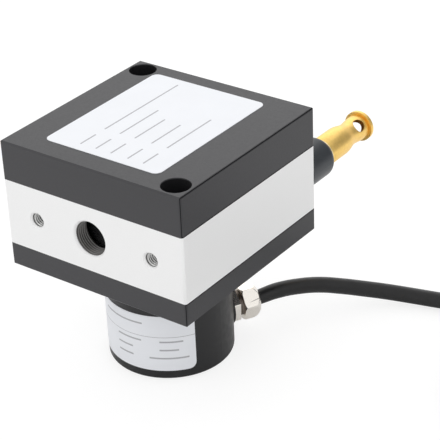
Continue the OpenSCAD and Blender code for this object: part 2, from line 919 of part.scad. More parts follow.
module encoder_bearing_balls() {
    color("#d0d3d7")
        encoder_bearing_places()
            bearing_balls(encoder_shaft_d, encoder_bearing_od, encoder_bearing_w);
}

module encoder_bearing_rings() {
    color("#b4b7bb")
        encoder_bearing_places()
            bearing_ring(encoder_shaft_d, encoder_bearing_od, encoder_bearing_w);
}

module encoder_shaft() {
    color("#c4c6c9")
        translate([0, 0, encoder_shaft_low_z])
            cylinder(d = encoder_shaft_d, h = encoder_shaft_top_z - encoder_shaft_low_z);
}

module disc_hub() {
    color("#c9b27a")
        difference() {
            union() {
                translate([0, 0, hub_z])
                    cylinder(d = hub_d, h = disc_z - hub_z);
                translate([0, 0, hub_z])
                    cylinder(d = hub_collar_d, h = spigot_z - hub_z);
            }
            translate([0, 0, hub_z - 1])
                cylinder(d = encoder_shaft_d + 2 * fit_gap, h = encoder_h);
        }
}

module code_disc() {
    slot_r = disc_r - 2.6;
    slot_l = 1.8;
    slot_w = PI * (disc_r - 1.6) / slot_count;
    color("#6f7478")
        translate([0, 0, disc_z])
            linear_extrude(disc_t)
                difference() {
                    circle(disc_r);
                    circle(d = hub_collar_d + 2 * fit_gap);
                    for (i = [0 : slot_count - 1])
                        rotate(i * 360 / slot_count)
                            translate([slot_r, -slot_w / 2])
                                square([slot_l, slot_w]);
                }
}

module encoder_board() {
    color("#1f6b3a")
        translate([0, 0, board_z])
            tube(housing_in_r - 0.1, encoder_shaft_d / 2 - 1, board_t);
}

module board_posts() {
    color("#c9b27a")
        for (a = [30, 150, 270])
            rotate(a)
                translate([post_circle_r, 0, board_top_z])
                    cylinder(r = post_r, h = spigot_z - board_top_z, $fn = 24);
}

module optical_sensor() {
    window = [2, reader_w - 2, 0.4];
    color("#1a1a1a")
        rotate(gland_angle + 180)
            translate([reader_r, -reader_w / 2, board_top_z])
                difference() {
                    cube([reader_l, reader_w, sensor_h]);
                    translate([(reader_l - window[0]) / 2, 1, sensor_h - window[2]])
                        cube(window + [0, 0, 1]);
                }
}

module light_source() {
    lens_r = 1.5;
    lens_h = 1;
    color("#2e2e30")
        rotate(gland_angle + 180)
            union() {
                translate([reader_r, -reader_w / 2, light_z + lens_h])
                    cube([reader_l, reader_w, light_h - lens_h]);
                translate([reader_r + reader_l / 2, 0, light_z])
                    cylinder(r = lens_r, h = lens_h + 0.5, $fn = 32);
            }
}

// ---------- cable gland ----------

module gland_hexagon(h) {
    cylinder(d = gland_corner_d, h = h, $fn = 6);
}

module gland_washer() {
    color("#161617")
        on_gland(gland_seat)
            tube(gland_corner_d / 2, gland_thread_d / 2 + thread_gap, washer_t);
}

module gland_body() {
    color("#d8d5ce")
        difference() {
            union() {
                on_gland(gland_thread_r)
                    cylinder(d = gland_thread_d, h = gland_hex_r - gland_thread_r + 0.1);
                on_gland(gland_hex_r)
                    rotate(body_hex_turn)
                        gland_hexagon(gland_hex_t);
                on_gland(gland_hex_r)
                    cylinder(d = gland_neck_d, h = seal_r - gland_hex_r - 0.1);
            }
            on_gland(gland_thread_r - 1)
                cylinder(d = gland_bore_d, h = gland_tip_r);
        }
}

module gland_seal() {
    color("#202022")
        on_gland(seal_r)
            tube(gland_neck_d / 2, cable_d / 2 + fit_gap, seal_t);
}

module gland_nut() {
    corner_r = gland_corner_d / 2;
    dome = [for (a = [0 : 15 : 90])
        [dome_flat_r + (corner_r - dome_flat_r) * cos(a), gland_nut_length - dome_h + dome_h * sin(a)]];
    color("#dcd9d2")
        on_gland(gland_nut_r)
            difference() {
                intersection() {
                    rotate(nut_hex_turn)
                        gland_hexagon(gland_nut_length);
                    rotate_extrude()
                        polygon(concat([[0, 0], [corner_r - 0.5, 0], [corner_r, 0.4]], dome,
                            [[0, gland_nut_length]]));
                }
                translate([0, 0, -1])
                    cylinder(d = gland_bore_d, h = gland_nut_length + 2);
                translate([0, 0, -1])
                    cylinder(d = gland_neck_d + 2 * thread_gap, h = seal_r + seal_t - gland_nut_r + 1.05);
            }
}

// Cores from the cable's stripped end up to the circuit board
module cable_cores() {
    bend_r = board_z - gland_z;
    bend_x = gland_in_r - 2.2;
    color("#b03a2e")
        rotate(gland_angle)
            for (i = [0 : core_count - 1])
                translate([bend_x, core_offset(i), board_z]) {
                    rotate([90, 0, 0])
                        rotate_extrude(angle = 90, $fn = 48)
                            translate([-bend_r, 0])
                                circle(d = core_d, $fn = 16);
                    translate([0, 0, -bend_r])
                        rotate([0, 90, 0])
                            cylinder(d = core_d, h = cable_start_r - 0.1 - bend_x, $fn = 16);
                }
}

// Sideways place of a core in the row of cores
function core_offset(i) = (i - (core_count - 1) / 2) * core_pitch;

// ---------- free cable ----------

function unit(v) = v / norm(v);
function route_direction(p, i) =
    unit(p[min(i + 1, len(p) - 1)] - p[max(i - 1, 0)]);
function ring_point(p, i, a) =
    let (ahead = route_direction(p, i), side = unit(cross(ahead, [0, 0, 1])), up = cross(side, ahead))
        p[i] + cable_d / 2 * (cos(a) * side + sin(a) * up);

module swept_tube(p, sides) {
    rings = len(p);
    points = [for (i = [0 : rings - 1], k = [0 : sides - 1]) ring_point(p, i, k * 360 / sides)];
    walls = [for (i = [0 : rings - 2], k = [0 : sides - 1])
        [i * sides + k, (i + 1) * sides + k, (i + 1) * sides + (k + 1) % sides, i * sides + (k + 1) % sides]];
    ends = [[for (k = [0 : sides - 1]) k], [for (k = [sides - 1 : -1 : 0]) (rings - 1) * sides + k]];
    polyhedron(points, concat(walls, ends), convexity = 4);
}

module cable() {
    color("#303033")
        swept_tube(cable_route, cable_sides);
}

module coil_section() {
    translate([coil_r - coil_section_w / 2, 0])
        square([coil_section_w, coil_section_h]);
}

module cable_coil() {
    color("#303033")
        translate([coil_x, coil_y, tie_t])
            rotate_extrude()
                coil_section();
}

module cable_tie() {
    color("#1c1c1e")
        translate([coil_x, coil_y, 0])
            difference() {
                translate([-coil_r - coil_section_w / 2 - tie_t - gap, -tie_w / 2, 0])
                    cube([coil_section_w + 2 * (tie_t + gap), tie_w, coil_section_h + 2 * tie_t]);
                translate([0, 0, tie_t])
                    rotate_extrude()
                        coil_section();
            }
}

module cable_tail() {
    color("#303033")
        translate([tail_x, coil_y, tail_z])
            rotate([90, 0, 0])
                cylinder(d = cable_d, h = tail_length);
}

module cable_leads() {
    fan_step = 8;
    color("#b03a2e")
        for (i = [0 : core_count - 1])
            translate([tail_x + core_offset(i), coil_y - tail_length + 1, tail_z])
                rotate([90, 0, fan_step * core_offset(i) / core_pitch]) {
                    cylinder(d = core_d, h = lead_length, $fn = 16);
                    cylinder(d = 0.6 * core_d, h = lead_length + bare_length, $fn = 16);
                }
}

// ---------- wire end ----------

module measuring_wire() {
    color("#a6a8ab")
        on_wire(wire_start_y)
            cylinder(d = wire_d, h = ferrule_y + ferrule_length - 0.5 - wire_start_y, $fn = 24);
}

module wire_ferrule() {
    color("#8f9296")
        on_wire(ferrule_y)
            tube(ferrule_d / 2, wire_d / 2 + fit_gap, ferrule_length);
}

// Bush that is screwed into the end clip and holds the ferrule in its chamber
module clip_bush() {
    color("#d9a94a")
        on_wire(clip_y)
            difference() {
                union() {
                    cylinder(d = clip_d + 0.2, h = collar_t);
                    cylinder(d = bush_d, h = collar_t + bush_length);
                }
                translate([0, 0, -1])
                    cylinder(d = wire_bore_d, h = bush_length + 3);
            }
}

module end_clip() {
    r = clip_d / 2;
    waist_r = clip_waist_d / 2;
    neck_r = clip_neck_d / 2;
    head_r = clip_head_d / 2;
    head_y = clip_length - clip_head_t;
    barrel_y = 0.43 * clip_length;
    waist_y = 0.66 * clip_length;
    flank_y = 0.86 * clip_length;
    edge = 0.4;
    barrel = [[0, collar_t], [r, collar_t]];
    fall = [for (t = [0 : 0.25 : 1])
        [(r + waist_r) / 2 + (r - waist_r) / 2 * cos(180 * t), barrel_y + (waist_y - barrel_y) * t]];
    rise = [for (t = [0.2 : 0.2 : 1])
        [(neck_r + waist_r) / 2 - (neck_r - waist_r) / 2 * cos(180 * t), waist_y + (flank_y - waist_y) * t]];
    head = [[neck_r, head_y - edge], [neck_r - edge, head_y], [head_r, head_y],
        [head_r, clip_length - edge], [head_r - edge, clip_length], [0, clip_length]];
    color("#d9a94a")
        on_wire(clip_y)
            difference() {
                rotate_extrude()
                    polygon(concat(barrel, fall, rise, head));
                cylinder(d = bush_d + 2 * thread_gap, h = bush_end_y - clip_y);
                cylinder(d = ferrule_d + 0.16, h = ferrule_y + ferrule_length + gap - clip_y);
                translate([0, 0, clip_length - clip_socket_depth])
                    cylinder(d = clip_socket_d, h = clip_socket_depth + 1);
                translate([0, 0, clip_length - clip_mouth_depth])
                    cylinder(d1 = clip_socket_d, d2 = clip_socket_d + 2 * clip_mouth_depth,
                        h = clip_mouth_depth + 0.01);
                translate([0, 0, clip_length - clip_eye_inset])
                    rotate([0, 0, -clip_eye_angle])
                        rotate([0, 90, 0]) {
                            cylinder(d = clip_eye_d, h = clip_head_d);
                            mirror([0, 0, 1])
                                cylinder(d = clip_far_eye_d, h = clip_head_d);
                        }
            }
}

top_cover();
main_body();
bottom_cover();
long_cover_screws();
short_cover_screws();
face_label();
outlet_nose();
guide_eyelet();
power_spring();
spring_plate();
upper_bearing_race();
upper_bearing_balls();
lower_bearing_race();
lower_bearing_balls();
encoder_flange();
encoder_housing();
encoder_label();
encoder_screws();
encoder_bearing_races();
encoder_bearing_balls();
encoder_board();
board_posts();
optical_sensor();
light_source();
cable_cores();
gland_washer();
gland_body();
gland_seal();
gland_nut();
cable();
cable_coil();
cable_tie();
cable_tail();
cable_leads();
drum_shaft();
wire_drum();
wound_wire();
drum_screws();
spring_arbor();
shaft_clip();
shaft_grub_screws();
upper_bearing_ring();
lower_bearing_ring();
encoder_bearing_rings();
encoder_shaft();
disc_hub();
code_disc();
measuring_wire();
wire_ferrule();
clip_bush();
end_clip();
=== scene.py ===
"""Dresses a draw wire encoder: the finish of every piece, its free cable, threads, labels and stage."""
import json
import math

import bpy
from bpy.props import FloatProperty, FloatVectorProperty, IntProperty, PointerProperty
from bpy.types import Operator, Panel, PropertyGroup
from mathutils import Matrix, Vector


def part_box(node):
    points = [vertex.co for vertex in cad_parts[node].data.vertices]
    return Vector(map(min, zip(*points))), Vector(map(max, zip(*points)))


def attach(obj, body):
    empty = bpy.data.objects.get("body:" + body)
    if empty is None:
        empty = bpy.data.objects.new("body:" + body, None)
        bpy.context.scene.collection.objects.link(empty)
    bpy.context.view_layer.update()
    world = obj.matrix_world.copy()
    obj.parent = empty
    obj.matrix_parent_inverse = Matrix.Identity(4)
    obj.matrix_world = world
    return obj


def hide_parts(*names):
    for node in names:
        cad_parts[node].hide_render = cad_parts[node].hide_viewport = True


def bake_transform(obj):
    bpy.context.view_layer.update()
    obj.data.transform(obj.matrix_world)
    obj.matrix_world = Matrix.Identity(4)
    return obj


bl_info = {
    "name": "Draw Wire Encoder",
    "version": (1, 0, 0),
    "blender": (4, 5, 0),
    "location": "View3D > Sidebar > Encoder",
    "description": "Builds the finishes, cable, threads and labels of a draw wire encoder",
    "category": "Object",
}

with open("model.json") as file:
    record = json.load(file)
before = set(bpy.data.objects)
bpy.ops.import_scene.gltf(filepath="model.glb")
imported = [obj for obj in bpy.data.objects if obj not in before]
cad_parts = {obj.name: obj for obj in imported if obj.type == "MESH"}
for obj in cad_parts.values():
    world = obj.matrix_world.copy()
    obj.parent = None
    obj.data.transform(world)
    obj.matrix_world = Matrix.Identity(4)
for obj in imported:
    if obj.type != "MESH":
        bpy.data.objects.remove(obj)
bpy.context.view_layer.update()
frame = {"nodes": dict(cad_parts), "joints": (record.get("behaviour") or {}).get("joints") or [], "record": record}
NODES = frame["nodes"]
MOUNTS = {mount["name"]: mount for mount in frame["record"]["mounts"]}
JOINTS = {joint["name"]: joint for joint in frame["joints"]}
MM = 0.001
UP = Vector((0, 0, 1))


# ---------- places taken from the frame ----------


def centre_of(node):
    """Middle of a node's box."""
    low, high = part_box(node)
    return (low + high) / 2


def polar(turn, radius, height=0.0):
    """Point at an angle round Z, from its distance and height."""
    return Vector((radius * math.cos(turn), radius * math.sin(turn), height))


def axes_at(origin, ahead, across=UP):
    """Matrix whose +Z runs along ahead from origin, and whose +X lies towards across."""
    z = Vector(ahead).normalized()
    x = Vector(across)
    x = (x - x.dot(z) * z).normalized()
    y = z.cross(x)
    turned = Matrix((x, y, z)).transposed()
    return Matrix.Translation(Vector(origin)) @ turned.to_4x4()


# A point on the wire's line, which the clip turns about
WIRE_LINE = Vector(JOINTS["clip_swivel"]["pos_m"])
# The gland's axis, from the encoder's middle through the gland's seal
GLAND_POINT = centre_of("gland_seal")
GLAND_AXIS = Vector((GLAND_POINT.x, GLAND_POINT.y, 0)).normalized()
GLAND_FOOT = Vector((0, 0, GLAND_POINT.z))


def along_gland(vertex):
    """How far out a vertex lies along the gland's axis."""
    return vertex.co.dot(GLAND_AXIS)


def off_gland(vertex):
    """How far a vertex lies from the gland's axis."""
    return (vertex.co - GLAND_FOOT - GLAND_AXIS * along_gland(vertex)).length


# ---------- settings ----------


def length(name, description, default):
    """A size in metres that a user can change."""
    return FloatProperty(
        name=name, description=description, default=default, min=0.0, unit="LENGTH", subtype="DISTANCE",
        precision=5
    )


def angle(name, description, degrees):
    """An angle that a user can change."""
    return FloatProperty(name=name, description=description, default=math.radians(degrees), subtype="ANGLE")


def power(name, description, default):
    """A lamp's power that a user can change."""
    return FloatProperty(name=name, description=description, default=default, min=0.0, unit="POWER")


def paint(name, description, default):
    """A colour that a user can change."""
    return FloatVectorProperty(
        name=name, description=description, default=default, min=0.0, max=1.0, size=3, subtype="COLOR"
    )


class EncoderSizes(PropertyGroup):
    """Sizes of what is built here round the frame."""

    edge_round: length("Edge rounding", "Rounding left on machined edges", 0.15 * MM)
    # The covers' dark edge line is a painted dark reflection
    edge_line: length("Edge line", "Width of the dark line along the covers' side edges", 0.32 * MM)
    # The counterbores within these are painted near black as painted shade
    bore_inset: length("Bore inset", "From the cover's sides to the middle of each counterbore", 5.0 * MM)
    bore_radius: length("Bore radius", "Radius of the counterbores, and a little more", 4.1 * MM)
    # Past the skin depth the holes' walls are bare metal darkened with painted shade, and past the cavity depth
    # painted near black as painted shade
    skin_and_shade_depth: length("Skin depth", "How far the silver skin reaches into the housing's holes", 0.7 * MM)
    cavity_depth: length("Cavity depth", "Depth inside the housing at which its dark cavity starts", 5.0 * MM)
    mount_pitch: length("Mount pitch", "Thread pitch of the two mounting holes", 0.7 * MM)
    mount_reach: length("Mount reach", "Length of the thread in each mounting hole", 7.2 * MM)
    port_pitch: length("Port pitch", "Thread pitch of the side port", 0.75 * MM)
    port_reach: length("Port reach", "Length of the thread in the side port", 4.6 * MM)
    gland_pitch: length("Gland pitch", "Thread pitch of the cable gland", 0.5 * MM)
    cable_length: length("Cable length", "Length of the free cable from the gland to its stripped end", 1.0)
    cable_diameter: length("Cable diameter", "Diameter of the cable's sheath", 4.4 * MM)
    wire_diameter: length("Wire diameter", "Diameter of the measuring wire", 0.6 * MM)
    wire_turns: IntProperty(name="Wire turns", description="Turns of wire on the drum", default=20, min=1)
    # The light ring is a painted highlight, and the socket carries painted shade
    clip_rim_highlight: length("Clip rim", "Width of the light ring round the clip's mouth", 0.3 * MM)
    clip_socket: length("Clip socket", "Radius of the clip's socket for the wire's end", 2.5 * MM)
    label_lift: length("Label lift", "How far the encoder's label stands above its seat", 1.4 * MM)
    label_corner: length("Label corner", "Radius of the encoder label's corners", 2.0 * MM)
    rule_width: length("Rule width", "Width of the fine rule on the encoder's label", 0.16 * MM)
    entry_width: length("Entry width", "Width of the lines to be filled in on the labels", 0.5 * MM)


class EncoderColours(PropertyGroup):
    """Colours of the finishes."""

    cover: paint("Cover", "Black anodising of the two covers", (0.029, 0.0285, 0.032))
    housing: paint("Housing", "Silver anodising of the drum housing", (0.84, 0.84, 0.84))
    # Bare metal darkened with painted shade, for the walls inside the housing's holes
    shaded_bare_metal: paint("Bare metal", "Machined walls inside the housing", (0.13, 0.125, 0.12))
    encoder: paint("Encoder", "Black of the encoder's case", (0.005, 0.005, 0.006))
    outlet: paint("Outlet", "Black of the wire outlet", (0.022, 0.027, 0.033))
    label: paint("Label", "White of the labels", (0.81, 0.825, 0.86))
    ink: paint("Ink", "Grey of the ruled lines", (0.40, 0.40, 0.42))
    brass: paint("Brass", "Yellow metal of the end clip", (0.94, 0.64, 0.20))
    # Painted shade: the gland's neck in the gap between the hexagon and the nut
    shaded_nickel: paint("Dull nickel", "Unpolished neck of the cable gland", (0.10, 0.08, 0.068))
    nickel: paint("Nickel", "Plating of the cable gland", (0.90, 0.86, 0.80))
    sheath: paint("Sheath", "Black of the cable", (0.006, 0.006, 0.0065))


class EncoderStudio(PropertyGroup):
    """Camera and lamps."""

    azimuth: angle("Azimuth", "Where the camera stands round the object", 37.2498)
    elevation: angle("Elevation", "Height of the camera above the horizon", 29.6945)
    roll: angle("Roll", "Tilt of the camera about its own axis", -2.5491)
    distance: length("Distance", "From the camera to the point it looks at", 0.43955)
    lens: FloatProperty(name="Lens", description="Focal length in millimetres", default=134.769, min=1.0)
    target: FloatVectorProperty(
        name="Target", description="Point that the camera looks at", default=(0.020225, -0.00127, 0.047606),
        subtype="XYZ", unit="LENGTH"
    )
    back_power: power("Back lamp", "Power of the lamp behind the object", 1.15)
    front_power: power("Front lamp", "Power of the lamp in front of the object", 0.42)
    sky: FloatProperty(name="Sky", description="Strength of the even light all round", default=1.0, min=0.0)


# ---------- meshes ----------

# Half widths of a thread's ridge at its root and at its crest, as shares of the pitch
RIDGE_ROOT = 0.46
RIDGE_CREST = 0.07


def add_object(name, data):
    """A new object in the scene."""
    made = bpy.data.objects.new(name, data)
    bpy.context.scene.collection.objects.link(made)
    return made


def mesh_object(name, vertices, faces, material, sharp_angle=32):
    """A smooth-shaded mesh object, whose edges over sharp_angle degrees stay sharp."""
    mesh = bpy.data.meshes.new(name)
    mesh.from_pydata([tuple(v) for v in vertices], [], faces)
    mesh.validate()
    for polygon in mesh.polygons:
        polygon.use_smooth = True
    mesh.set_sharp_from_angle(angle=math.radians(sharp_angle))
    mesh.materials.append(material)
    return add_object(name, mesh)


def grid_faces(rows, columns, closed=True):
    """Quads between rows of points, each row with the same number of columns."""
    faces = []
    for row in range(0, (rows - 1) * columns, columns):
        for here in range(columns if closed else columns - 1):
            after = (here + 1) % columns
            faces.append((row + here, row + after, row + columns + after, row + columns + here))
    return faces


def thread(name, base_r, crest_r, pitch, reach, place, material, steps=48):
    """Helical ridge on a round wall, along place's +Z. It fades in and out over half a turn."""
    turns = reach / pitch - 1
    count = int(turns * steps)
    vertices = []
    for i in range(count + 1):
        done = i / steps
        fade = min(1.0, 2 * done, 2 * (turns - done))
        crest = base_r + (crest_r - base_r) * max(fade, 0.02)
        middle = (done + 0.5) * pitch
        section = ((base_r, -RIDGE_ROOT), (crest, -RIDGE_CREST), (crest, RIDGE_CREST), (base_r, RIDGE_ROOT))
        for radius, offset in section:
            vertices.append(place @ polar(2 * math.pi * done, radius, middle + offset * pitch))
    faces = grid_faces(count + 1, 4)
    faces += [(3, 2, 1, 0), tuple(count * 4 + k for k in range(4))]
    return mesh_object(name, vertices, faces, material, 20)


def tube(name, points, radius, material, sides=12):
    """Round tube along points, closed at both ends."""
    count = len(points)
    vertices = []
    for i, point in enumerate(points):
        ahead = (points[min(i + 1, count - 1)] - points[max(i - 1, 0)]).normalized()
        hint = UP if abs(ahead.z) < 0.9 else Vector((1, 0, 0))
        place = axes_at(point, ahead, hint)
        vertices += [place @ polar(2 * math.pi * k / sides, radius) for k in range(sides)]
    faces = grid_faces(count, sides)
    faces += [tuple(range(sides - 1, -1, -1)), tuple((count - 1) * sides + k for k in range(sides))]
    return mesh_object(name, vertices, faces, material, 40)


# ---------- materials ----------

# At scale 1, a band texture repeats after this many metres
BAND_PERIOD = 0.314


class Shader:
    """A material's node tree, with short calls for the nodes that the finishes share."""

    def __init__(self, name, colour, metallic, roughness):
        self.material = bpy.data.materials.new(f"{name}_finish")
        self.material.use_nodes = True
        self.tree = self.material.node_tree
        self.surface = self.tree.nodes["Principled BSDF"]
        self.colour = colour
        self.roughness = roughness
        self.place = self.node("ShaderNodeTexCoord").outputs["Object"]
        self.coat({"Base Color": (*colour, 1), "Metallic": metallic, "Roughness": roughness})

    def fill(self, node, inputs):
        """Gives a node's inputs their values, which are numbers, colours or sockets."""
        for key, value in inputs.items():
            if isinstance(value, bpy.types.NodeSocket):
                self.tree.links.new(value, node.inputs[key])
            else:
                node.inputs[key].default_value = value

    def coat(self, inputs):
        """Gives the surface's own inputs their values."""
        self.fill(self.surface, inputs)

    def node(self, kind, inputs=None, **settings):
        """A new node with those settings and inputs."""
        made = self.tree.nodes.new(kind)
        for key, value in settings.items():
            setattr(made, key, value)
        self.fill(made, inputs or {})
        return made

    def math(self, operation, *values):
        """Result of a math node, whose values are numbers or sockets."""
        return self.node("ShaderNodeMath", dict(enumerate(values)), operation=operation).outputs[0]

    def vector_math(self, operation, *values):
        """Outputs of a vector math node."""
        return self.node("ShaderNodeVectorMath", dict(enumerate(values)), operation=operation).outputs

    def mix(self, kind, share, first, second):
        """Blend from one colour or number to another, by a share from 0 to 1."""
        inputs = {"Factor": share, "A": first, "B": second}
        return self.node("ShaderNodeMix", inputs, data_type=kind).outputs["Result"]

    def grey(self, value):
        """Colour whose three parts are all that value."""
        return self.node("ShaderNodeCombineColor", {0: value, 1: value, 2: value}).outputs[0]

    def noise(self, size, detail=2.0):
        """Even noise whose grains are about size metres across."""
        inputs = {"Vector": self.place, "Scale": 1 / size, "Detail": detail}
        return self.node("ShaderNodeTexNoise", inputs).outputs["Fac"]

    def spread(self, value, low, high):
        """Maps the middle of a noise, from 0.3 to 0.7, to low and high."""
        inputs = {"Value": value, "From Min": 0.3, "From Max": 0.7, "To Min": low, "To Max": high}
        return self.node("ShaderNodeMapRange", inputs).outputs["Result"]

    def mottle(self, size, amount):
        """Lets the colour drift darker and lighter by amount over patches of that size."""
        darker = (*[part * (1 - amount) for part in self.colour], 1)
        lighter = (*[min(1, part * (1 + amount)) for part in self.colour], 1)
        mottled = self.mix("RGBA", self.spread(self.noise(size, 3.0), 0, 1), darker, lighter)
        self.coat({"Base Color": mottled})
        return mottled

    def polish(self, size, amount):
        """Lets the roughness drift up and down by amount over patches of that size."""
        drift = self.spread(self.noise(size), self.roughness - amount, self.roughness + amount)
        self.coat({"Roughness": drift})

    def bump(self, height, depth):
        """Gives the surface a relief of that depth in metres."""
        inputs = {"Height": height, "Distance": depth, "Strength": 1.0}
        self.coat({"Normal": self.node("ShaderNodeBump", inputs).outputs["Normal"]})

    def tint(self, share, colour, roughness):
        """Turns the surface to another colour and roughness by a share from 0 to 1."""
        for name, kind, value in (("Base Color", "RGBA", (*colour, 1)), ("Roughness", "FLOAT", roughness)):
            below = self.surface.inputs[name].links[0].from_socket
            self.coat({name: self.mix(kind, share, below, value)})

    def dull_shade(self, share):
        """Takes the shine off by a share from 0 to 1, where shade is painted."""
        self.coat({"Specular Tint": self.grey(self.math("SUBTRACT", 1.0, share))})

    def axes(self):
        """The three coordinates of the point that is shaded."""
        return self.node("ShaderNodeSeparateXYZ", {0: self.place}).outputs

    def depth_below(self, node):
        """How far the point lies inside a node's box, from its sides across X, Y and Z."""
        low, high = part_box(node)
        depths = []
        for value, a, b in zip(self.axes(), low, high):
            off_middle = self.math("ABSOLUTE", self.math("SUBTRACT", value, (a + b) / 2))
            depths.append(self.math("SUBTRACT", (b - a) / 2, off_middle))
        return depths

    def apart(self, values, centre):
        """Distance between a centre and a point in a plane, from the two coordinates of each."""
        sides = [self.math("SUBTRACT", value, middle) for value, middle in zip(values, centre)]
        squares = [self.math("POWER", side, 2.0) for side in sides]
        return self.math("SQRT", self.math("ADD", *squares))

    def off_line(self, origin, ahead):
        """How far the point lies from a line through origin, which runs along the unit vector ahead."""
        shifted = self.vector_math("SUBTRACT", self.place, origin)[0]
        crossed = self.vector_math("CROSS_PRODUCT", shifted, ahead)[0]
        return self.vector_math("LENGTH", crossed)["Value"]

    def bands(self, direction, spacing):
        """Even ridges along X, Y or Z, as tool marks."""
        inputs = {"Vector": self.place, "Scale": BAND_PERIOD / spacing, "Distortion": 0.6, "Detail": 1.0}
        made = self.node("ShaderNodeTexWave", inputs, wave_type="BANDS", bands_direction=direction)
        return made.outputs["Fac"]


def blasted(name, colour, metallic, roughness, grain=0.12 * MM, depth=0.004 * MM):
    """Fine bead-blasted and anodised metal, or a fine paint."""
    shader = Shader(name, colour, metallic, roughness)
    shader.mottle(0.3 * MM, 0.02)
    shader.polish(0.6 * MM, 0.03)
    shader.bump(shader.noise(grain), depth)
    return shader.material


def anodised_cover(name, node, sizes, colours):
    """Black anodised cover, with painted dark reflection along the edges of its X sides and painted shade in its
    counterbores.
    """
    shader = Shader(name, colours.cover, 0.0, 0.46)
    shader.mottle(0.3 * MM, 0.03)
    shader.polish(0.6 * MM, 0.03)
    x, y, z = shader.depth_below(node)
    # Mask for the painted dark reflection along the edges of the X sides
    on_side = shader.math("LESS_THAN", x, sizes.edge_line)
    at_edge = shader.math("LESS_THAN", shader.math("MINIMUM", y, z), sizes.edge_line)
    edge = shader.math("MULTIPLY", on_side, at_edge)
    # Mask for the painted shade on the counterbores' walls
    off_axis = shader.apart((x, y), (sizes.bore_inset, sizes.bore_inset))
    in_bore = shader.math("LESS_THAN", off_axis, sizes.bore_radius)
    bore = shader.math("MULTIPLY", in_bore, shader.math("GREATER_THAN", z, sizes.edge_line))
    # Painted dark reflection on the edges and painted shade in the counterbores: near black, rough and without
    # shine
    dark = shader.math("MAXIMUM", shader.math("MULTIPLY", edge, 0.8), shader.math("MULTIPLY", bore, 0.75))
    shader.tint(dark, (0.0015, 0.0015, 0.0018), 0.85)
    shader.dull_shade(dark)
    shader.bump(shader.noise(0.12 * MM), 0.004 * MM)
    return shader.material


def anodised_housing(name, node, sizes, colours):
    """Silver anodised block, whose holes are bare metal darkened with painted shade and whose cavity is painted
    near black as painted shade.
    """
    shader = Shader(name, colours.housing, 0.25, 0.5)
    shader.mottle(0.3 * MM, 0.015)
    shader.polish(0.6 * MM, 0.03)
    x, y, _ = shader.depth_below(node)
    depth = shader.math("MINIMUM", x, y)
    # Bare metal in the holes, darkened with painted shade
    shader.tint(shader.math("GREATER_THAN", depth, sizes.skin_and_shade_depth), colours.shaded_bare_metal, 0.5)
    # Painted shade: the cavity deep inside is near black, rough and without shine
    cavity = shader.math("GREATER_THAN", depth, sizes.cavity_depth)
    shader.tint(cavity, (0.003, 0.003, 0.003), 0.8)
    shader.dull_shade(cavity)
    shader.bump(shader.noise(0.1 * MM), 0.003 * MM)
    return shader.material


def cut_thread(name, root, crest, centre, root_r, crest_r):
    """Cut thread in a hole along Y, or in a mirrored pair: painted shade darkens its roots, and its crests are
    lighter.
    """
    shader = Shader(name, root, 0.6, 0.4)
    shader.mottle(0.3 * MM, 0.1)
    shader.polish(0.3 * MM, 0.07)
    x, _, z = shader.axes()
    if centre.x > 0:
        x = shader.math("ABSOLUTE", x)
    off_axis = shader.apart((x, z), (centre.x, centre.z))
    # Share from root to crest, which lifts the painted shade towards the crests
    rise = shader.math("DIVIDE", shader.math("SUBTRACT", root_r, off_axis), root_r - crest_r)
    shader.tint(shader.math("MINIMUM", shader.math("MAXIMUM", rise, 0.0), 1.0), crest, 0.3)
    return shader.material


def turned_brass(name, sizes, colours):
    """Bright brass with fine rings from the lathe, a painted highlight on its rim, and painted shade inside its
    socket and eye.
    """
    eye = MOUNTS["clip_eye"]
    eye_r = (eye["dims"]["r_mm"] + 0.03) * MM
    shader = Shader(name, colours.brass, 1.0, 0.385)
    shader.mottle(0.8 * MM, 0.05)
    shader.polish(0.5 * MM, 0.045)
    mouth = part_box("end_clip")[0].y
    # Painted highlight: a light ring round the clip's mouth
    rim = shader.math("LESS_THAN", shader.axes()[1], mouth + sizes.clip_rim_highlight)
    shader.tint(rim, (1.0, 0.88, 0.62), 0.3)
    # Painted shade: dark brown inside the wire's socket and the eye
    in_socket = shader.math("LESS_THAN", shader.off_line(WIRE_LINE, (0, 1, 0)), sizes.clip_socket)
    off_eye = shader.off_line(Vector(eye["pos_m"]), Vector(eye["axis"]))
    in_eye = shader.math("LESS_THAN", off_eye, eye_r)
    shader.tint(shader.math("MAXIMUM", in_socket, in_eye), (0.42, 0.22, 0.05), 0.5)
    shader.bump(shader.bands("Y", 0.12 * MM), 0.0012 * MM)
    return shader.material


def rubber(name, colour, roughness, grain=0.25 * MM, depth=0.01 * MM):
    """Soft matt plastic with a slightly pitted skin."""
    shader = Shader(name, colour, 0.0, roughness)
    shader.coat({"Specular IOR Level": 0.45})
    shader.mottle(4 * MM, 0.08)
    shader.polish(2 * MM, 0.06)
    shader.bump(shader.noise(grain, 3.0), depth)
    return shader.material


def ceramic(name, colour):
    """Glazed ceramic."""
    shader = Shader(name, colour, 0.0, 0.18)
    shader.mottle(1 * MM, 0.03)
    shader.bump(shader.noise(0.4 * MM), 0.002 * MM)
    return shader.material


def ruled(name, colours, plane, lines):
    """White label film. The plane gives its two coordinates, and a line its place, two ends and width."""
    shader = Shader(name, colours.label, 0.0, 0.42)
    film = shader.mottle(9 * MM, 0.012)
    along, across = plane(shader)
    printed = None
    for place, start, end, width in lines:
        on_line = shader.math("COMPARE", across, place, width / 2)
        between = shader.math("COMPARE", along, (start + end) / 2, abs(end - start) / 2)
        line = shader.math("MULTIPLY", on_line, between)
        printed = line if printed is None else shader.math("MAXIMUM", printed, line)
    shader.coat({"Base Color": shader.mix("RGBA", printed, film, (*colours.ink, 1))})
    shader.bump(shader.noise(0.5 * MM), 0.003 * MM)
    return shader.material


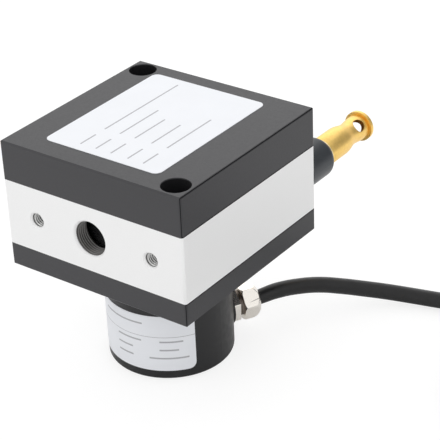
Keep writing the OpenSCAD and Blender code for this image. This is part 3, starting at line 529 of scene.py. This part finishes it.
def plated_neck(name, start, colours):
    """Nickel plate that painted shade turns dark brown from start outwards along the gland's axis, where the neck
    lies between the hexagon and the nut.
    """
    shader = Shader(name, colours.nickel, 1.0, 0.21)
    shader.mottle(0.5 * MM, 0.03)
    shader.polish(0.5 * MM, 0.04)
    x, y, _ = shader.axes()
    shares = [shader.math("MULTIPLY", x, GLAND_AXIS.x), shader.math("MULTIPLY", y, GLAND_AXIS.y)]
    on_neck = shader.math("GREATER_THAN", shader.math("ADD", *shares), start + 0.05 * MM)
    # Painted shade on the neck between the hexagon and the nut
    shader.tint(on_neck, colours.shaded_nickel, 0.5)
    return shader.material


FINISHES = {}


def finish(name, make, *values):
    """The finish of that name, made once."""
    if name not in FINISHES:
        FINISHES[name] = make(name, *values)
    return FINISHES[name]


def steel(shade=0.55, roughness=0.3):
    """Bare steel of that shade."""
    return finish(f"steel_{int(shade * 100)}", blasted, (shade, shade, shade * 1.02), 1.0, roughness)


def plain_brass(colours):
    """Brass of the small parts, without marks from the lathe."""
    return finish("brass", blasted, colours.brass, 1.0, 0.36)


# ---------- dressing the frame's own pieces ----------


def dress(node, look, edge=0.0):
    """Gives a frame piece its finish, and rounds its sharp edges by edge metres."""
    piece = NODES[node]
    piece.data.materials.clear()
    piece.data.materials.append(look)
    if edge > 0:
        weld = piece.modifiers.new("weld", "WELD")
        weld.merge_threshold = 0.002 * MM
        bevel = piece.modifiers.new("edges", "BEVEL")
        bevel.width = edge
        bevel.segments = 2
        bevel.limit_method = "ANGLE"
        bevel.angle_limit = math.radians(35)
        bevel.harden_normals = True


def dress_all(nodes, look):
    """Gives several frame pieces the same finish."""
    for node in nodes:
        dress(node, look)


# ---------- camera ----------


class ENCODER_OT_camera(Operator):
    """Places the camera"""

    bl_idname = "encoder.camera"
    bl_label = "Camera"

    def execute(self, context):
        studio = context.scene.encoder_studio
        data = bpy.data.cameras.new("camera")
        data.lens = studio.lens
        data.sensor_width = 36
        data.clip_start = 0.01
        camera = add_object("camera", data)
        turned = Matrix.Rotation(studio.azimuth, 4, "Z")
        turned @= Matrix.Rotation(math.pi / 2 - studio.elevation, 4, "X")
        turned @= Matrix.Rotation(studio.roll, 4, "Z")
        back = Matrix.Translation((0, 0, studio.distance))
        camera.matrix_world = Matrix.Translation(studio.target) @ turned @ back
        context.scene.camera = camera
        return {"FINISHED"}


# ---------- free cable ----------

# The loose stretch, from the gland's tip over the ground to the coil
CABLE_ROUTE = [
    (0.017, 0.029, 0.008), (0.021, 0.0345, 0.0079), (0.025, 0.0395, 0.0071), (0.030, 0.044, 0.0059),
    (0.035, 0.048, 0.0046), (0.040, 0.0515, 0.0035), (0.046, 0.0545, 0.0027), (0.052, 0.0567, 0.0023),
    (0.058, 0.0584, 0.0022), (0.067, 0.0599, 0.0022), (0.077, 0.0609, 0.0026), (0.088, 0.0612, 0.0044),
    (0.099, 0.0612, 0.0064)]
# Share by which the loose stretch is thicker than the wound turns, and its gap over the ground
LOOSE_SWELL = 0.08
LOOSE_GAP = 0.04 * MM
# Column and row of the coil's section in which the cable starts, of two columns and three rows
COIL_START = (1, 1)
# Degrees round the coil at which it starts to change its place, and the column and row it goes to
COIL_MOVES = [(240, 1, 2), (560, 0, 2), (895, 0, 1), (1230, 0, 0), (1565, 1, 0)]
# Degrees that each such change takes
MOVE_TURN = 25
# Degrees round the coil from its first point to its last
COIL_TURN = 1890
# Radius of a core, and the distance and angle between neighbouring cores
CORE_RADIUS = 0.4 * MM
CORE_PITCH = 0.86 * MM
CORE_FAN = math.radians(7.8)
CORE_COLOURS = {
    "red": (0.55, 0.02, 0.015), "white": (0.75, 0.74, 0.70), "yellow": (0.80, 0.55, 0.03),
    "black": (0.015, 0.015, 0.016), "green": (0.03, 0.30, 0.06)}


def eased(share):
    """Smooth step from 0 to 1, for a share that may lie beyond them."""
    share = max(0.0, min(1.0, share))
    return share * share * (3 - 2 * share)


def coil_points(diameter, step=10):
    """Points of the coil, clockwise from its far side, as it moves from place to place in its section."""
    low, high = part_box("cable_coil")
    middle = Vector(((low.x + high.x) / 2, (low.y + high.y) / 2, low.z))
    middle_r = (high.x - low.x) / 2 - diameter
    points = []
    for turned in range(0, COIL_TURN + 1, step):
        column, row = COIL_START
        for start, new_column, new_row in COIL_MOVES:
            moved = eased((turned - start) / MOVE_TURN)
            column += (new_column - column) * moved
            row += (new_row - row) * moved
        radius = middle_r + (column - 0.5) * diameter
        points.append(middle + polar(math.radians(90 - turned), radius, (row + 0.5) * diameter))
    return points


class ENCODER_OT_cable(Operator):
    """Lays the free cable, winds its stored length into a coil and strips its end"""

    bl_idname = "encoder.cable"
    bl_label = "Cable"

    def execute(self, context):
        sizes, colours = context.scene.encoder_sizes, context.scene.encoder_colours
        diameter = sizes.cable_diameter
        tip = GLAND_FOOT + GLAND_AXIS * max(along_gland(v) for v in NODES["gland_nut"].data.vertices)
        start = GLAND_FOOT + GLAND_AXIS * (tip.xy.length - 2 * diameter)
        lift = Vector((0, 0, LOOSE_SWELL * diameter / 2 + LOOSE_GAP))
        coil = coil_points(diameter)
        tail = self.tail(coil[-1].z)
        points = [start, tip, *[Vector(p) + lift for p in CABLE_ROUTE], *coil, *tail]
        cable = self.curve(points, diameter, finish("sheath", rubber, colours.sheath, 0.42))
        tie = self.tie(diameter)
        leads = self.leads(points[-1])
        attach(cable, "housing")
        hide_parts("cable", "cable_coil", "cable_tail")
        return {"FINISHED"}

    def tail(self, height):
        """Points of the short straight end that leaves the coil."""
        low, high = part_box("cable_tail")
        middle = (low.x + high.x) / 2
        return [Vector((middle, high.y + (low.y - high.y) * share, height)) for share in (0.25, 0.6, 1)]

    def curve(self, points, diameter, material):
        """One smooth curve through all points, with a round section that swells where it lies loose."""
        data = bpy.data.curves.new("cable_run", "CURVE")
        data.dimensions = "3D"
        data.resolution_u = 6
        data.bevel_depth = diameter / 2
        data.bevel_resolution = 6
        data.use_fill_caps = True
        spline = data.splines.new("BEZIER")
        spline.bezier_points.add(len(points) - 1)
        for index, (knot, point) in enumerate(zip(spline.bezier_points, points)):
            loose = 1 < index <= len(CABLE_ROUTE)
            knot.co = point
            knot.radius = 1.0 + (LOOSE_SWELL if loose else 0.0)
            knot.handle_left_type = knot.handle_right_type = "AUTO"
        data.materials.append(material)
        return add_object("cable_run", data)

    def tie(self, diameter):
        """Flat band round the coil's section, with bevelled edges."""
        middle = centre_of("cable_tie")
        steps = 48
        inner_r = diameter / 2
        thick = 0.8 * MM
        bevel = 0.2 * MM
        half_w = 2.3 * MM
        section = [(0, -half_w), (thick, -half_w + bevel), (thick, half_w - bevel), (0, half_w)]
        vertices = []
        for k in range(steps):
            turn = 2 * math.pi * (k + 0.5) / steps
            out = Vector((math.cos(turn), 0, math.sin(turn)))
            corner = Vector((math.copysign(inner_r, out.x), 0, math.copysign(diameter, out.z)))
            for push, side in section:
                vertices.append(middle + corner + out * (inner_r + push) + Vector((0, side, 0)))
        last = 4 * (steps - 1)
        faces = grid_faces(steps, 4) + [(last + k, last + (k + 1) % 4, (k + 1) % 4, k) for k in range(4)]
        nylon = finish("tie_nylon", rubber, (0.012, 0.012, 0.013), 0.35)
        tie = mesh_object("coil_tie", vertices, faces, nylon)
        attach(tie, "housing")
        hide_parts("cable_tie")
        return tie

    def leads(self, start):
        """Five coloured cores that fan out from the sheath's end, each with a tinned tip."""
        made = []
        for i, (shade, colour) in enumerate(CORE_COLOURS.items()):
            place = i - len(CORE_COLOURS) // 2
            sleeve = finish(f"core_{shade}", rubber, colour, 0.4)
            points = [self.core_point(start, place, run * MM) for run in range(-1, 23)]
            lead = tube(f"lead_{shade}", points, CORE_RADIUS, sleeve, 16)
            tip_points = [self.core_point(start, place, run * MM) for run in (21.5, 24, 26.4)]
            tip = tube(f"lead_tip_{shade}", tip_points, 0.6 * CORE_RADIUS, steel(0.72, 0.25), 12)
            for piece, slot in ((lead, "core_insulation"), (tip, "nickel")):
                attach(piece, "housing")
                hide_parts("cable_leads")
                made.append(piece)
        return made

    def core_point(self, start, place, run):
        """A core's centre, run metres past the sheath's end: it fans out and droops to the ground."""
        out = max(0.0, run)
        aside = place * CORE_PITCH + math.tan(place * CORE_FAN) * out
        height = start.z + (0.5 * MM - start.z) * eased(out / (15 * MM))
        return Vector((start.x + aside, start.y - run, height))


# ---------- body ----------

# How far behind the housing's face each thread starts, past the hole's rounded mouth
MOUTH_DEPTH = 0.45 * MM
# Height of a cut thread's ridge, as a share of its pitch
RIDGE_HEIGHT = 0.5


class ENCODER_OT_body(Operator):
    """Finishes the two covers and the drum housing"""

    bl_idname = "encoder.body"
    bl_label = "Covers and housing"

    def execute(self, context):
        sizes, colours = context.scene.encoder_sizes, context.scene.encoder_colours
        for node in ("top_cover", "bottom_cover"):
            black = finish(f"{node}_anodised", anodised_cover, node, sizes, colours)
            dress(node, black, sizes.edge_round)
        silver = finish("silver_anodised", anodised_housing, "main_body", sizes, colours)
        dress("main_body", silver, sizes.edge_round / 2)
        return {"FINISHED"}


class ENCODER_OT_screws(Operator):
    """Finishes the screws"""

    bl_idname = "encoder.screws"
    bl_label = "Screws"

    def execute(self, context):
        black = finish("black_oxide", blasted, (0.16, 0.16, 0.165), 0.9, 0.34)
        dress_all([node for node in NODES if node.endswith("_screws")], black)
        return {"FINISHED"}


class ENCODER_OT_hole_threads(Operator):
    """Cuts the threads of the mounting holes and of the side port"""

    bl_idname = "encoder.hole_threads"
    bl_label = "Hole threads"

    def execute(self, context):
        sizes = context.scene.encoder_sizes
        port, holes = MOUNTS["side_port"], MOUNTS["mounting_holes"]
        middle = Vector(port["pos_m"])
        radius = port["dims"]["r_mm"] * MM
        crest = radius - RIDGE_HEIGHT * sizes.port_pitch
        # The port's thread is darkened all over with painted shade, from its roots to its crests
        dull_shade = finish(
            "port_thread", cut_thread, (0.05, 0.048, 0.046), (0.17, 0.165, 0.16), middle, radius, crest
        )
        self.cut("port_thread", middle, radius, crest, sizes.port_pitch, sizes.port_reach, dull_shade)
        middle = Vector(holes["pos_m"])
        radius = holes["dims"]["hole_r_mm"] * MM
        crest = radius - RIDGE_HEIGHT * sizes.mount_pitch
        half = Vector((holes["dims"]["spacing_x_mm"] / 2 * MM, 0, 0))
        # The mounting holes' threads: painted shade at their roots, bare metal on their crests
        bright = finish(
            "mount_thread", cut_thread, (0.10, 0.10, 0.10), (0.85, 0.85, 0.84), middle + half, radius, crest
        )
        for side, place in (("left", middle - half), ("right", middle + half)):
            name = f"mount_thread_{side}"
            self.cut(name, place, radius, crest, sizes.mount_pitch, sizes.mount_reach, bright)
        return {"FINISHED"}

    def cut(self, name, place, radius, crest, pitch, reach, metal):
        """Thread ridges inside one hole, from just behind its mouth."""
        mouth = Vector((place.x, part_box("main_body")[0].y + MOUTH_DEPTH, place.z))
        ridge = thread(name, radius + 0.01 * MM, crest, pitch, reach, axes_at(mouth, (0, 1, 0)), metal)
        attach(ridge, "housing")


# ---------- labels ----------

# Lines to be filled in on the face label, in mm: each row's place across and where its long stretch ends
FACE_ROWS = ((-10.0, 21.9), (-4.8, 6.2), (0.2, 2.7), (5.8, 2.2), (10.9, 9.0))
# The ends of the rows' short stretch, and the start of their long one
FACE_SHORT = (-20.3, -14.0)
FACE_LONG = -10.3
# Height of the fine rule round the encoder's label, in mm
WRAP_RULE = 13.9
# Lines to be filled in on the encoder's label, in mm: height, then the two ends round the case from +X
WRAP_ENTRIES = (
    (18.0, -38.5, -24.1), (12.4, -32.8, -24.7), (12.4, -19.4, -12.8), (9.7, -32.8, -27.5),
    (9.7, -19.5, -14.1), (7.0, -32.8, -27.5), (7.0, -22.5, -11.3))
# Thickness of the encoder's label
FILM_THICK = 0.12 * MM


class ENCODER_OT_labels(Operator):
    """Finishes the face label and lays the label round the encoder"""

    bl_idname = "encoder.labels"
    bl_label = "Labels"

    def execute(self, context):
        sizes, colours = context.scene.encoder_sizes, context.scene.encoder_colours
        lines = []
        for place, long_end in FACE_ROWS:
            for start, end in (FACE_SHORT, (FACE_LONG, long_end)):
                lines.append((place * MM, start * MM, end * MM, sizes.entry_width))
        dress("face_label", finish("face_label", ruled, colours, self.face_plane, lines))
        self.wrap(sizes, colours)
        return {"FINISHED"}

    def face_plane(self, shader):
        """Coordinates along and across the face label."""
        x, y, _ = shader.axes()
        return y, x

    def wrap(self, sizes, colours):
        """The encoder's label: a thin sheet round its case, with rounded corners."""
        low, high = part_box("encoder_housing")
        inner = (high.x - low.x) / 2
        low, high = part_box("encoder_label")
        low.z += sizes.label_lift
        height = high.z - low.z
        turns = [math.atan2(v.co.y, v.co.x) for v in NODES["encoder_label"].data.vertices]
        turns = [turn - 2 * math.pi if turn > 0 else turn for turn in turns]
        start, end = min(turns), max(turns)
        shares = self.row_shares(height, sizes.label_corner)
        columns = 97
        vertices = []
        for radius in (inner + FILM_THICK, inner):
            for share in shares:
                z = low.z + height * share
                inset = self.corner_inset(min(z - low.z, high.z - z), sizes.label_corner) / inner
                for c in range(columns):
                    turn = start + inset + (end - start - 2 * inset) * c / (columns - 1)
                    vertices.append(polar(turn, radius, z))
        lines = [(WRAP_RULE * MM, start * inner, end * inner, sizes.rule_width)]
        for place, first, last in WRAP_ENTRIES:
            lines.append((place * MM, first * MM, last * MM, sizes.entry_width))
        film = finish("wrap_label", ruled, colours, lambda shader: self.wrap_plane(shader, inner), lines)
        sheet = mesh_object("wrap_label", vertices, self.sheet_faces(len(shares), columns), film)
        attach(sheet, "housing")
        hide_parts("encoder_label")

    def wrap_plane(self, shader, radius):
        """Distance round the case from +X, and height."""
        x, y, z = shader.axes()
        return shader.math("MULTIPLY", shader.math("ARCTAN2", y, x), radius), z

    def row_shares(self, height, corner):
        """Heights of the sheet's rows from 0 to 1, close together in its corners."""
        near = [corner / height * (1 - math.cos(math.radians(15 * k))) for k in range(7)]
        return near + [0.5] + [1 - share for share in reversed(near)]

    def corner_inset(self, edge, corner):
        """How far the sheet's end stands back at that distance from its edge."""
        if edge >= corner:
            return 0.0
        return corner - math.sqrt(max(0.0, corner * corner - (corner - edge) ** 2))

    def sheet_faces(self, rows, columns):
        """Faces of a closed thin sheet: outside, inside and the rim between them."""
        outside = grid_faces(rows, columns, closed=False)
        shift = rows * columns
        inside = [tuple(shift + i for i in reversed(face)) for face in outside]
        rim = list(range(columns)) + [r * columns + columns - 1 for r in range(1, rows)]
        rim += [(rows - 1) * columns + c for c in range(columns - 2, -1, -1)]
        rim += [r * columns for r in range(rows - 2, 0, -1)]
        edge = [(a, a + shift, b + shift, b) for a, b in zip(rim, rim[1:] + rim[:1])]
        return outside + inside + edge


# ---------- wire outlet, wire and clip ----------


class ENCODER_OT_outlet(Operator):
    """Finishes the wire outlet and its ceramic guide"""

    bl_idname = "encoder.outlet"
    bl_label = "Wire outlet"

    def execute(self, context):
        colours = context.scene.encoder_colours
        dress("outlet_nose", finish("outlet_black", blasted, colours.outlet, 0.0, 0.36))
        dress("guide_eyelet", finish("guide_ceramic", ceramic, (0.80, 0.77, 0.70)))
        return {"FINISHED"}


class ENCODER_OT_wire(Operator):
    """Makes the measuring wire and the turns wound on the drum"""

    bl_idname = "encoder.wire"
    bl_label = "Measuring wire"

    def execute(self, context):
        sizes = context.scene.encoder_sizes
        coated = finish("coated_wire", rubber, (0.02, 0.02, 0.021), 0.35, 0.1 * MM, 0.004 * MM)
        self.pulled(sizes.wire_diameter / 2, coated)
        self.wound(sizes.wire_diameter / 2, sizes.wire_turns, coated)
        dress("wire_ferrule", steel())
        return {"FINISHED"}

    def pulled(self, radius, coated):
        """The straight wire, as long as the frame's measuring wire."""
        low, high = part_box("measuring_wire")
        count = 60
        steps = [low.y + (high.y - low.y) * i / count for i in range(count + 1)]
        points = [Vector((WIRE_LINE.x, y, WIRE_LINE.z)) for y in steps]
        wire = tube("pulled_wire", points, radius, coated, 16)
        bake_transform(wire)
        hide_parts("measuring_wire")

    def wound(self, radius, turns, coated):
        """The stored wire: one helix in the drum's groove."""
        low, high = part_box("wound_wire")
        first, last = low.z + radius, high.z - radius
        per_turn = 72
        steps = per_turn * turns
        points = []
        for i in range(steps + 1):
            height = first + (last - first) * i / steps
            points.append(polar(2 * math.pi * i / per_turn, WIRE_LINE.x, height))
        helix = tube("wound_turns", points, radius, coated, 8)
        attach(helix, "rotor")
        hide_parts("wound_wire")


class ENCODER_OT_clip(Operator):
    """Finishes the brass end clip and its bush"""

    bl_idname = "encoder.clip"
    bl_label = "End clip"

    def execute(self, context):
        sizes, colours = context.scene.encoder_sizes, context.scene.encoder_colours
        edge = 0.06 * MM
        dress("end_clip", finish("turned_brass", turned_brass, sizes, colours), edge)
        dress("clip_bush", plain_brass(colours), edge)
        return {"FINISHED"}


# ---------- encoder and gland ----------

# A radius between the gland's neck and the flats of its hexagon
NECK_LIMIT = 4.3 * MM


class ENCODER_OT_case(Operator):
    """Finishes the encoder's case and flange"""

    bl_idname = "encoder.case"
    bl_label = "Encoder case"

    def execute(self, context):
        colours = context.scene.encoder_colours
        black = finish("encoder_black", rubber, colours.encoder, 0.36, 0.12 * MM, 0.004 * MM)
        dress_all(("encoder_housing", "encoder_flange"), black)
        return {"FINISHED"}


class ENCODER_OT_gland(Operator):
    """Finishes the cable gland and cuts its thread"""

    bl_idname = "encoder.gland"
    bl_label = "Cable gland"

    def execute(self, context):
        sizes, colours = context.scene.encoder_sizes, context.scene.encoder_colours
        body = NODES["gland_body"].data.vertices
        neck_start = max(along_gland(v) for v in body if off_gland(v) > NECK_LIMIT)
        neck_end = min(along_gland(v) for v in NODES["gland_nut"].data.vertices)
        neck_r = max(off_gland(v) for v in body if along_gland(v) > neck_end)
        edge = 0.12 * MM
        dress("gland_body", finish("gland_plate", plated_neck, neck_start, colours), edge)
        nickel = finish("nickel_plate", blasted, colours.nickel, 1.0, 0.2, 0.5 * MM, 0.002 * MM)
        dress("gland_nut", nickel, edge)
        dress_all(("gland_washer", "gland_seal"), finish("seal_rubber", rubber, (0.01, 0.01, 0.01), 0.5))
        self.neck_thread(neck_start, neck_end, neck_r, sizes.gland_pitch)
        return {"FINISHED"}

    def neck_thread(self, start, end, radius, pitch):
        """The thread that shows between the hexagon and the nut, and runs a little way under both."""
        place = axes_at(GLAND_FOOT + GLAND_AXIS * (start - 0.3 * pitch), GLAND_AXIS)
        reach = end - start + 0.6 * pitch
        # Dark brownish metal: painted shade of the gap between the hexagon and the nut
        metal = finish("neck_thread", blasted, (0.30, 0.26, 0.23), 1.0, 0.35)
        ridge = thread("gland_thread", radius - 0.02 * MM, radius + 0.3 * MM, pitch, reach, place, metal)
        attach(ridge, "housing")


# ---------- inner works ----------


class ENCODER_OT_drum(Operator):
    """Finishes the drum, its shaft and the power spring"""

    bl_idname = "encoder.drum"
    bl_label = "Drum and spring"

    def execute(self, context):
        dress("wire_drum", finish("drum_black", blasted, (0.03, 0.03, 0.032), 0.3, 0.42))
        dress_all(("drum_shaft", "spring_arbor", "encoder_shaft"), steel(0.62, 0.25))
        dress("power_spring", finish("blued_steel", blasted, (0.20, 0.23, 0.32), 1.0, 0.28))
        dress("spring_plate", steel(0.7, 0.4))
        dress("shaft_clip", steel(0.3, 0.35))
        return {"FINISHED"}


class ENCODER_OT_bearings(Operator):
    """Finishes the ball bearings"""

    bl_idname = "encoder.bearings"
    bl_label = "Bearings"

    def execute(self, context):
        for node in NODES:
            if "_bearing_" in node:
                dress(node, steel(0.75, 0.1) if node.endswith("balls") else steel(0.58, 0.22))
        return {"FINISHED"}


class ENCODER_OT_reading_parts(Operator):
    """Finishes the code disc and the circuit board that reads it"""

    bl_idname = "encoder.reading_parts"
    bl_label = "Reading parts"

    def execute(self, context):
        black = finish("moulded_black", rubber, (0.015, 0.015, 0.016), 0.45)
        dress("code_disc", steel(0.45, 0.3))
        dress_all(("disc_hub", "board_posts"), plain_brass(context.scene.encoder_colours))
        dress("encoder_board", finish("board_green", blasted, (0.015, 0.12, 0.045), 0.0, 0.35))
        dress_all(("optical_sensor", "light_source"), black)
        dress("cable_cores", finish("core_red", rubber, CORE_COLOURS["red"], 0.4))
        return {"FINISHED"}


# ---------- stage ----------

# The floor's own grey, and how much of it and how much glow the camera sees, for a white with faint shadows
FLOOR_GREY = 0.86
FLOOR_SEEN_GREY = 0.26
FLOOR_SEEN_GLOW = 0.79
# The glow that mirrors and glass see
FLOOR_MIRRORED_GLOW = 0.14


class ENCODER_OT_stage(Operator):
    """Lays the pale floor, hangs the lamps and lights the sky"""

    bl_idname = "encoder.stage"
    bl_label = "Stage"

    def execute(self, context):
        studio = context.scene.encoder_studio
        self.floor()
        self.lamp("back_lamp", Vector((-0.5, 0.7, 0.55)), 0.8, studio.back_power)
        self.lamp("front_lamp", Vector((-0.45, -0.55, 0.35)), 0.5, studio.front_power)
        self.dark_card()
        self.sky(context.scene, studio.sky)
        context.scene.view_settings.view_transform = "Standard"
        return {"FINISHED"}

    def floor(self):
        """White ground, wide enough for every view, and just under the object."""
        half = 4.0
        low = -0.0002
        corners = [(-half, -half, low), (half, -half, low), (half, half, low), (-half, half, low)]
        mesh_object("floor", corners, [(0, 1, 2, 3)], self.floor_material())

    def floor_material(self):
        """Ground that is plain white with a faint shadow for the camera, and light grey for lamps."""
        shader = Shader("pale_floor", (FLOOR_GREY, FLOOR_GREY, FLOOR_GREY), 0.0, 0.9)
        rays = shader.node("ShaderNodeLightPath").outputs
        seen = rays["Is Camera Ray"]
        mirrored = shader.math("MAXIMUM", rays["Is Glossy Ray"], rays["Is Transmission Ray"])
        darker = shader.math("MULTIPLY", seen, FLOOR_GREY - FLOOR_SEEN_GREY)
        grey = shader.grey(shader.math("SUBTRACT", FLOOR_GREY, darker))
        shown = shader.math("MULTIPLY", seen, FLOOR_SEEN_GLOW)
        glow = shader.math("MULTIPLY_ADD", mirrored, FLOOR_MIRRORED_GLOW, shown)
        shader.coat({"Base Color": grey, "Emission Color": (1, 1, 1, 1), "Emission Strength": glow})
        shader.coat({"Specular IOR Level": 0.0})
        return shader.material

    def lamp(self, name, place, size, energy):
        """Square soft lamp that faces the object's middle."""
        data = bpy.data.lights.new(name, "AREA")
        data.shape = "SQUARE"
        data.size = size
        data.energy = energy
        lamp = add_object(name, data)
        facing = (Vector((0, 0, 0.04)) - place).to_track_quat("-Z", "Y")
        lamp.matrix_world = Matrix.Translation(place) @ facing.to_matrix().to_4x4()

    def dark_card(self):
        """Grey card behind the object's right, which only its polished faces and edges mirror."""
        place = axes_at((0.56, 0.62, 0.36), (-0.65, -0.69, -0.30))
        x, y = 0.42, 0.5
        corners = [place @ Vector(corner) for corner in ((-x, -y, 0), (x, -y, 0), (x, y, 0), (-x, y, 0))]
        felt = finish("grey_felt", rubber, (0.38, 0.38, 0.38), 0.9)
        card = mesh_object("dark_card", corners, [(0, 1, 2, 3)], felt)
        card.visible_camera = card.visible_diffuse = False

    def sky(self, scene, strength):
        """Even white light from all round."""
        world = bpy.data.worlds.new("sky")
        world.use_nodes = True
        background = world.node_tree.nodes["Background"]
        background.inputs["Color"].default_value = (1, 1, 1, 1)
        background.inputs["Strength"].default_value = strength
        scene.world = world


# ---------- panel and registration ----------

OPERATORS = (
    ENCODER_OT_camera, ENCODER_OT_cable, ENCODER_OT_body, ENCODER_OT_screws, ENCODER_OT_hole_threads,
    ENCODER_OT_labels, ENCODER_OT_outlet, ENCODER_OT_wire, ENCODER_OT_clip, ENCODER_OT_case,
    ENCODER_OT_gland, ENCODER_OT_drum, ENCODER_OT_bearings, ENCODER_OT_reading_parts, ENCODER_OT_stage)
SETTINGS = {
    "encoder_sizes": EncoderSizes, "encoder_colours": EncoderColours, "encoder_studio": EncoderStudio}


class ENCODER_PT_panel(Panel):
    """Lists the settings and the steps"""

    bl_label = "Draw Wire Encoder"
    bl_idname = "ENCODER_PT_panel"
    bl_space_type = "VIEW_3D"
    bl_region_type = "UI"
    bl_category = "Encoder"

    def draw(self, context):
        for operator in OPERATORS:
            self.layout.operator(operator.bl_idname)
        for name in SETTINGS:
            group = getattr(context.scene, name)
            box = self.layout.box()
            for key in group.__annotations__:
                box.prop(group, key)


CLASSES = (*SETTINGS.values(), *OPERATORS, ENCODER_PT_panel)


def register():
    for made in CLASSES:
        bpy.utils.register_class(made)
    for name, group in SETTINGS.items():
        setattr(bpy.types.Scene, name, PointerProperty(type=group))


def unregister():
    for name in SETTINGS:
        delattr(bpy.types.Scene, name)
    for made in reversed(CLASSES):
        bpy.utils.unregister_class(made)


def main():
    register()
    for operator in OPERATORS:
        group, step = operator.bl_idname.split(".")
        getattr(getattr(bpy.ops, group), step)()


if __name__ == "__main__":
    main()
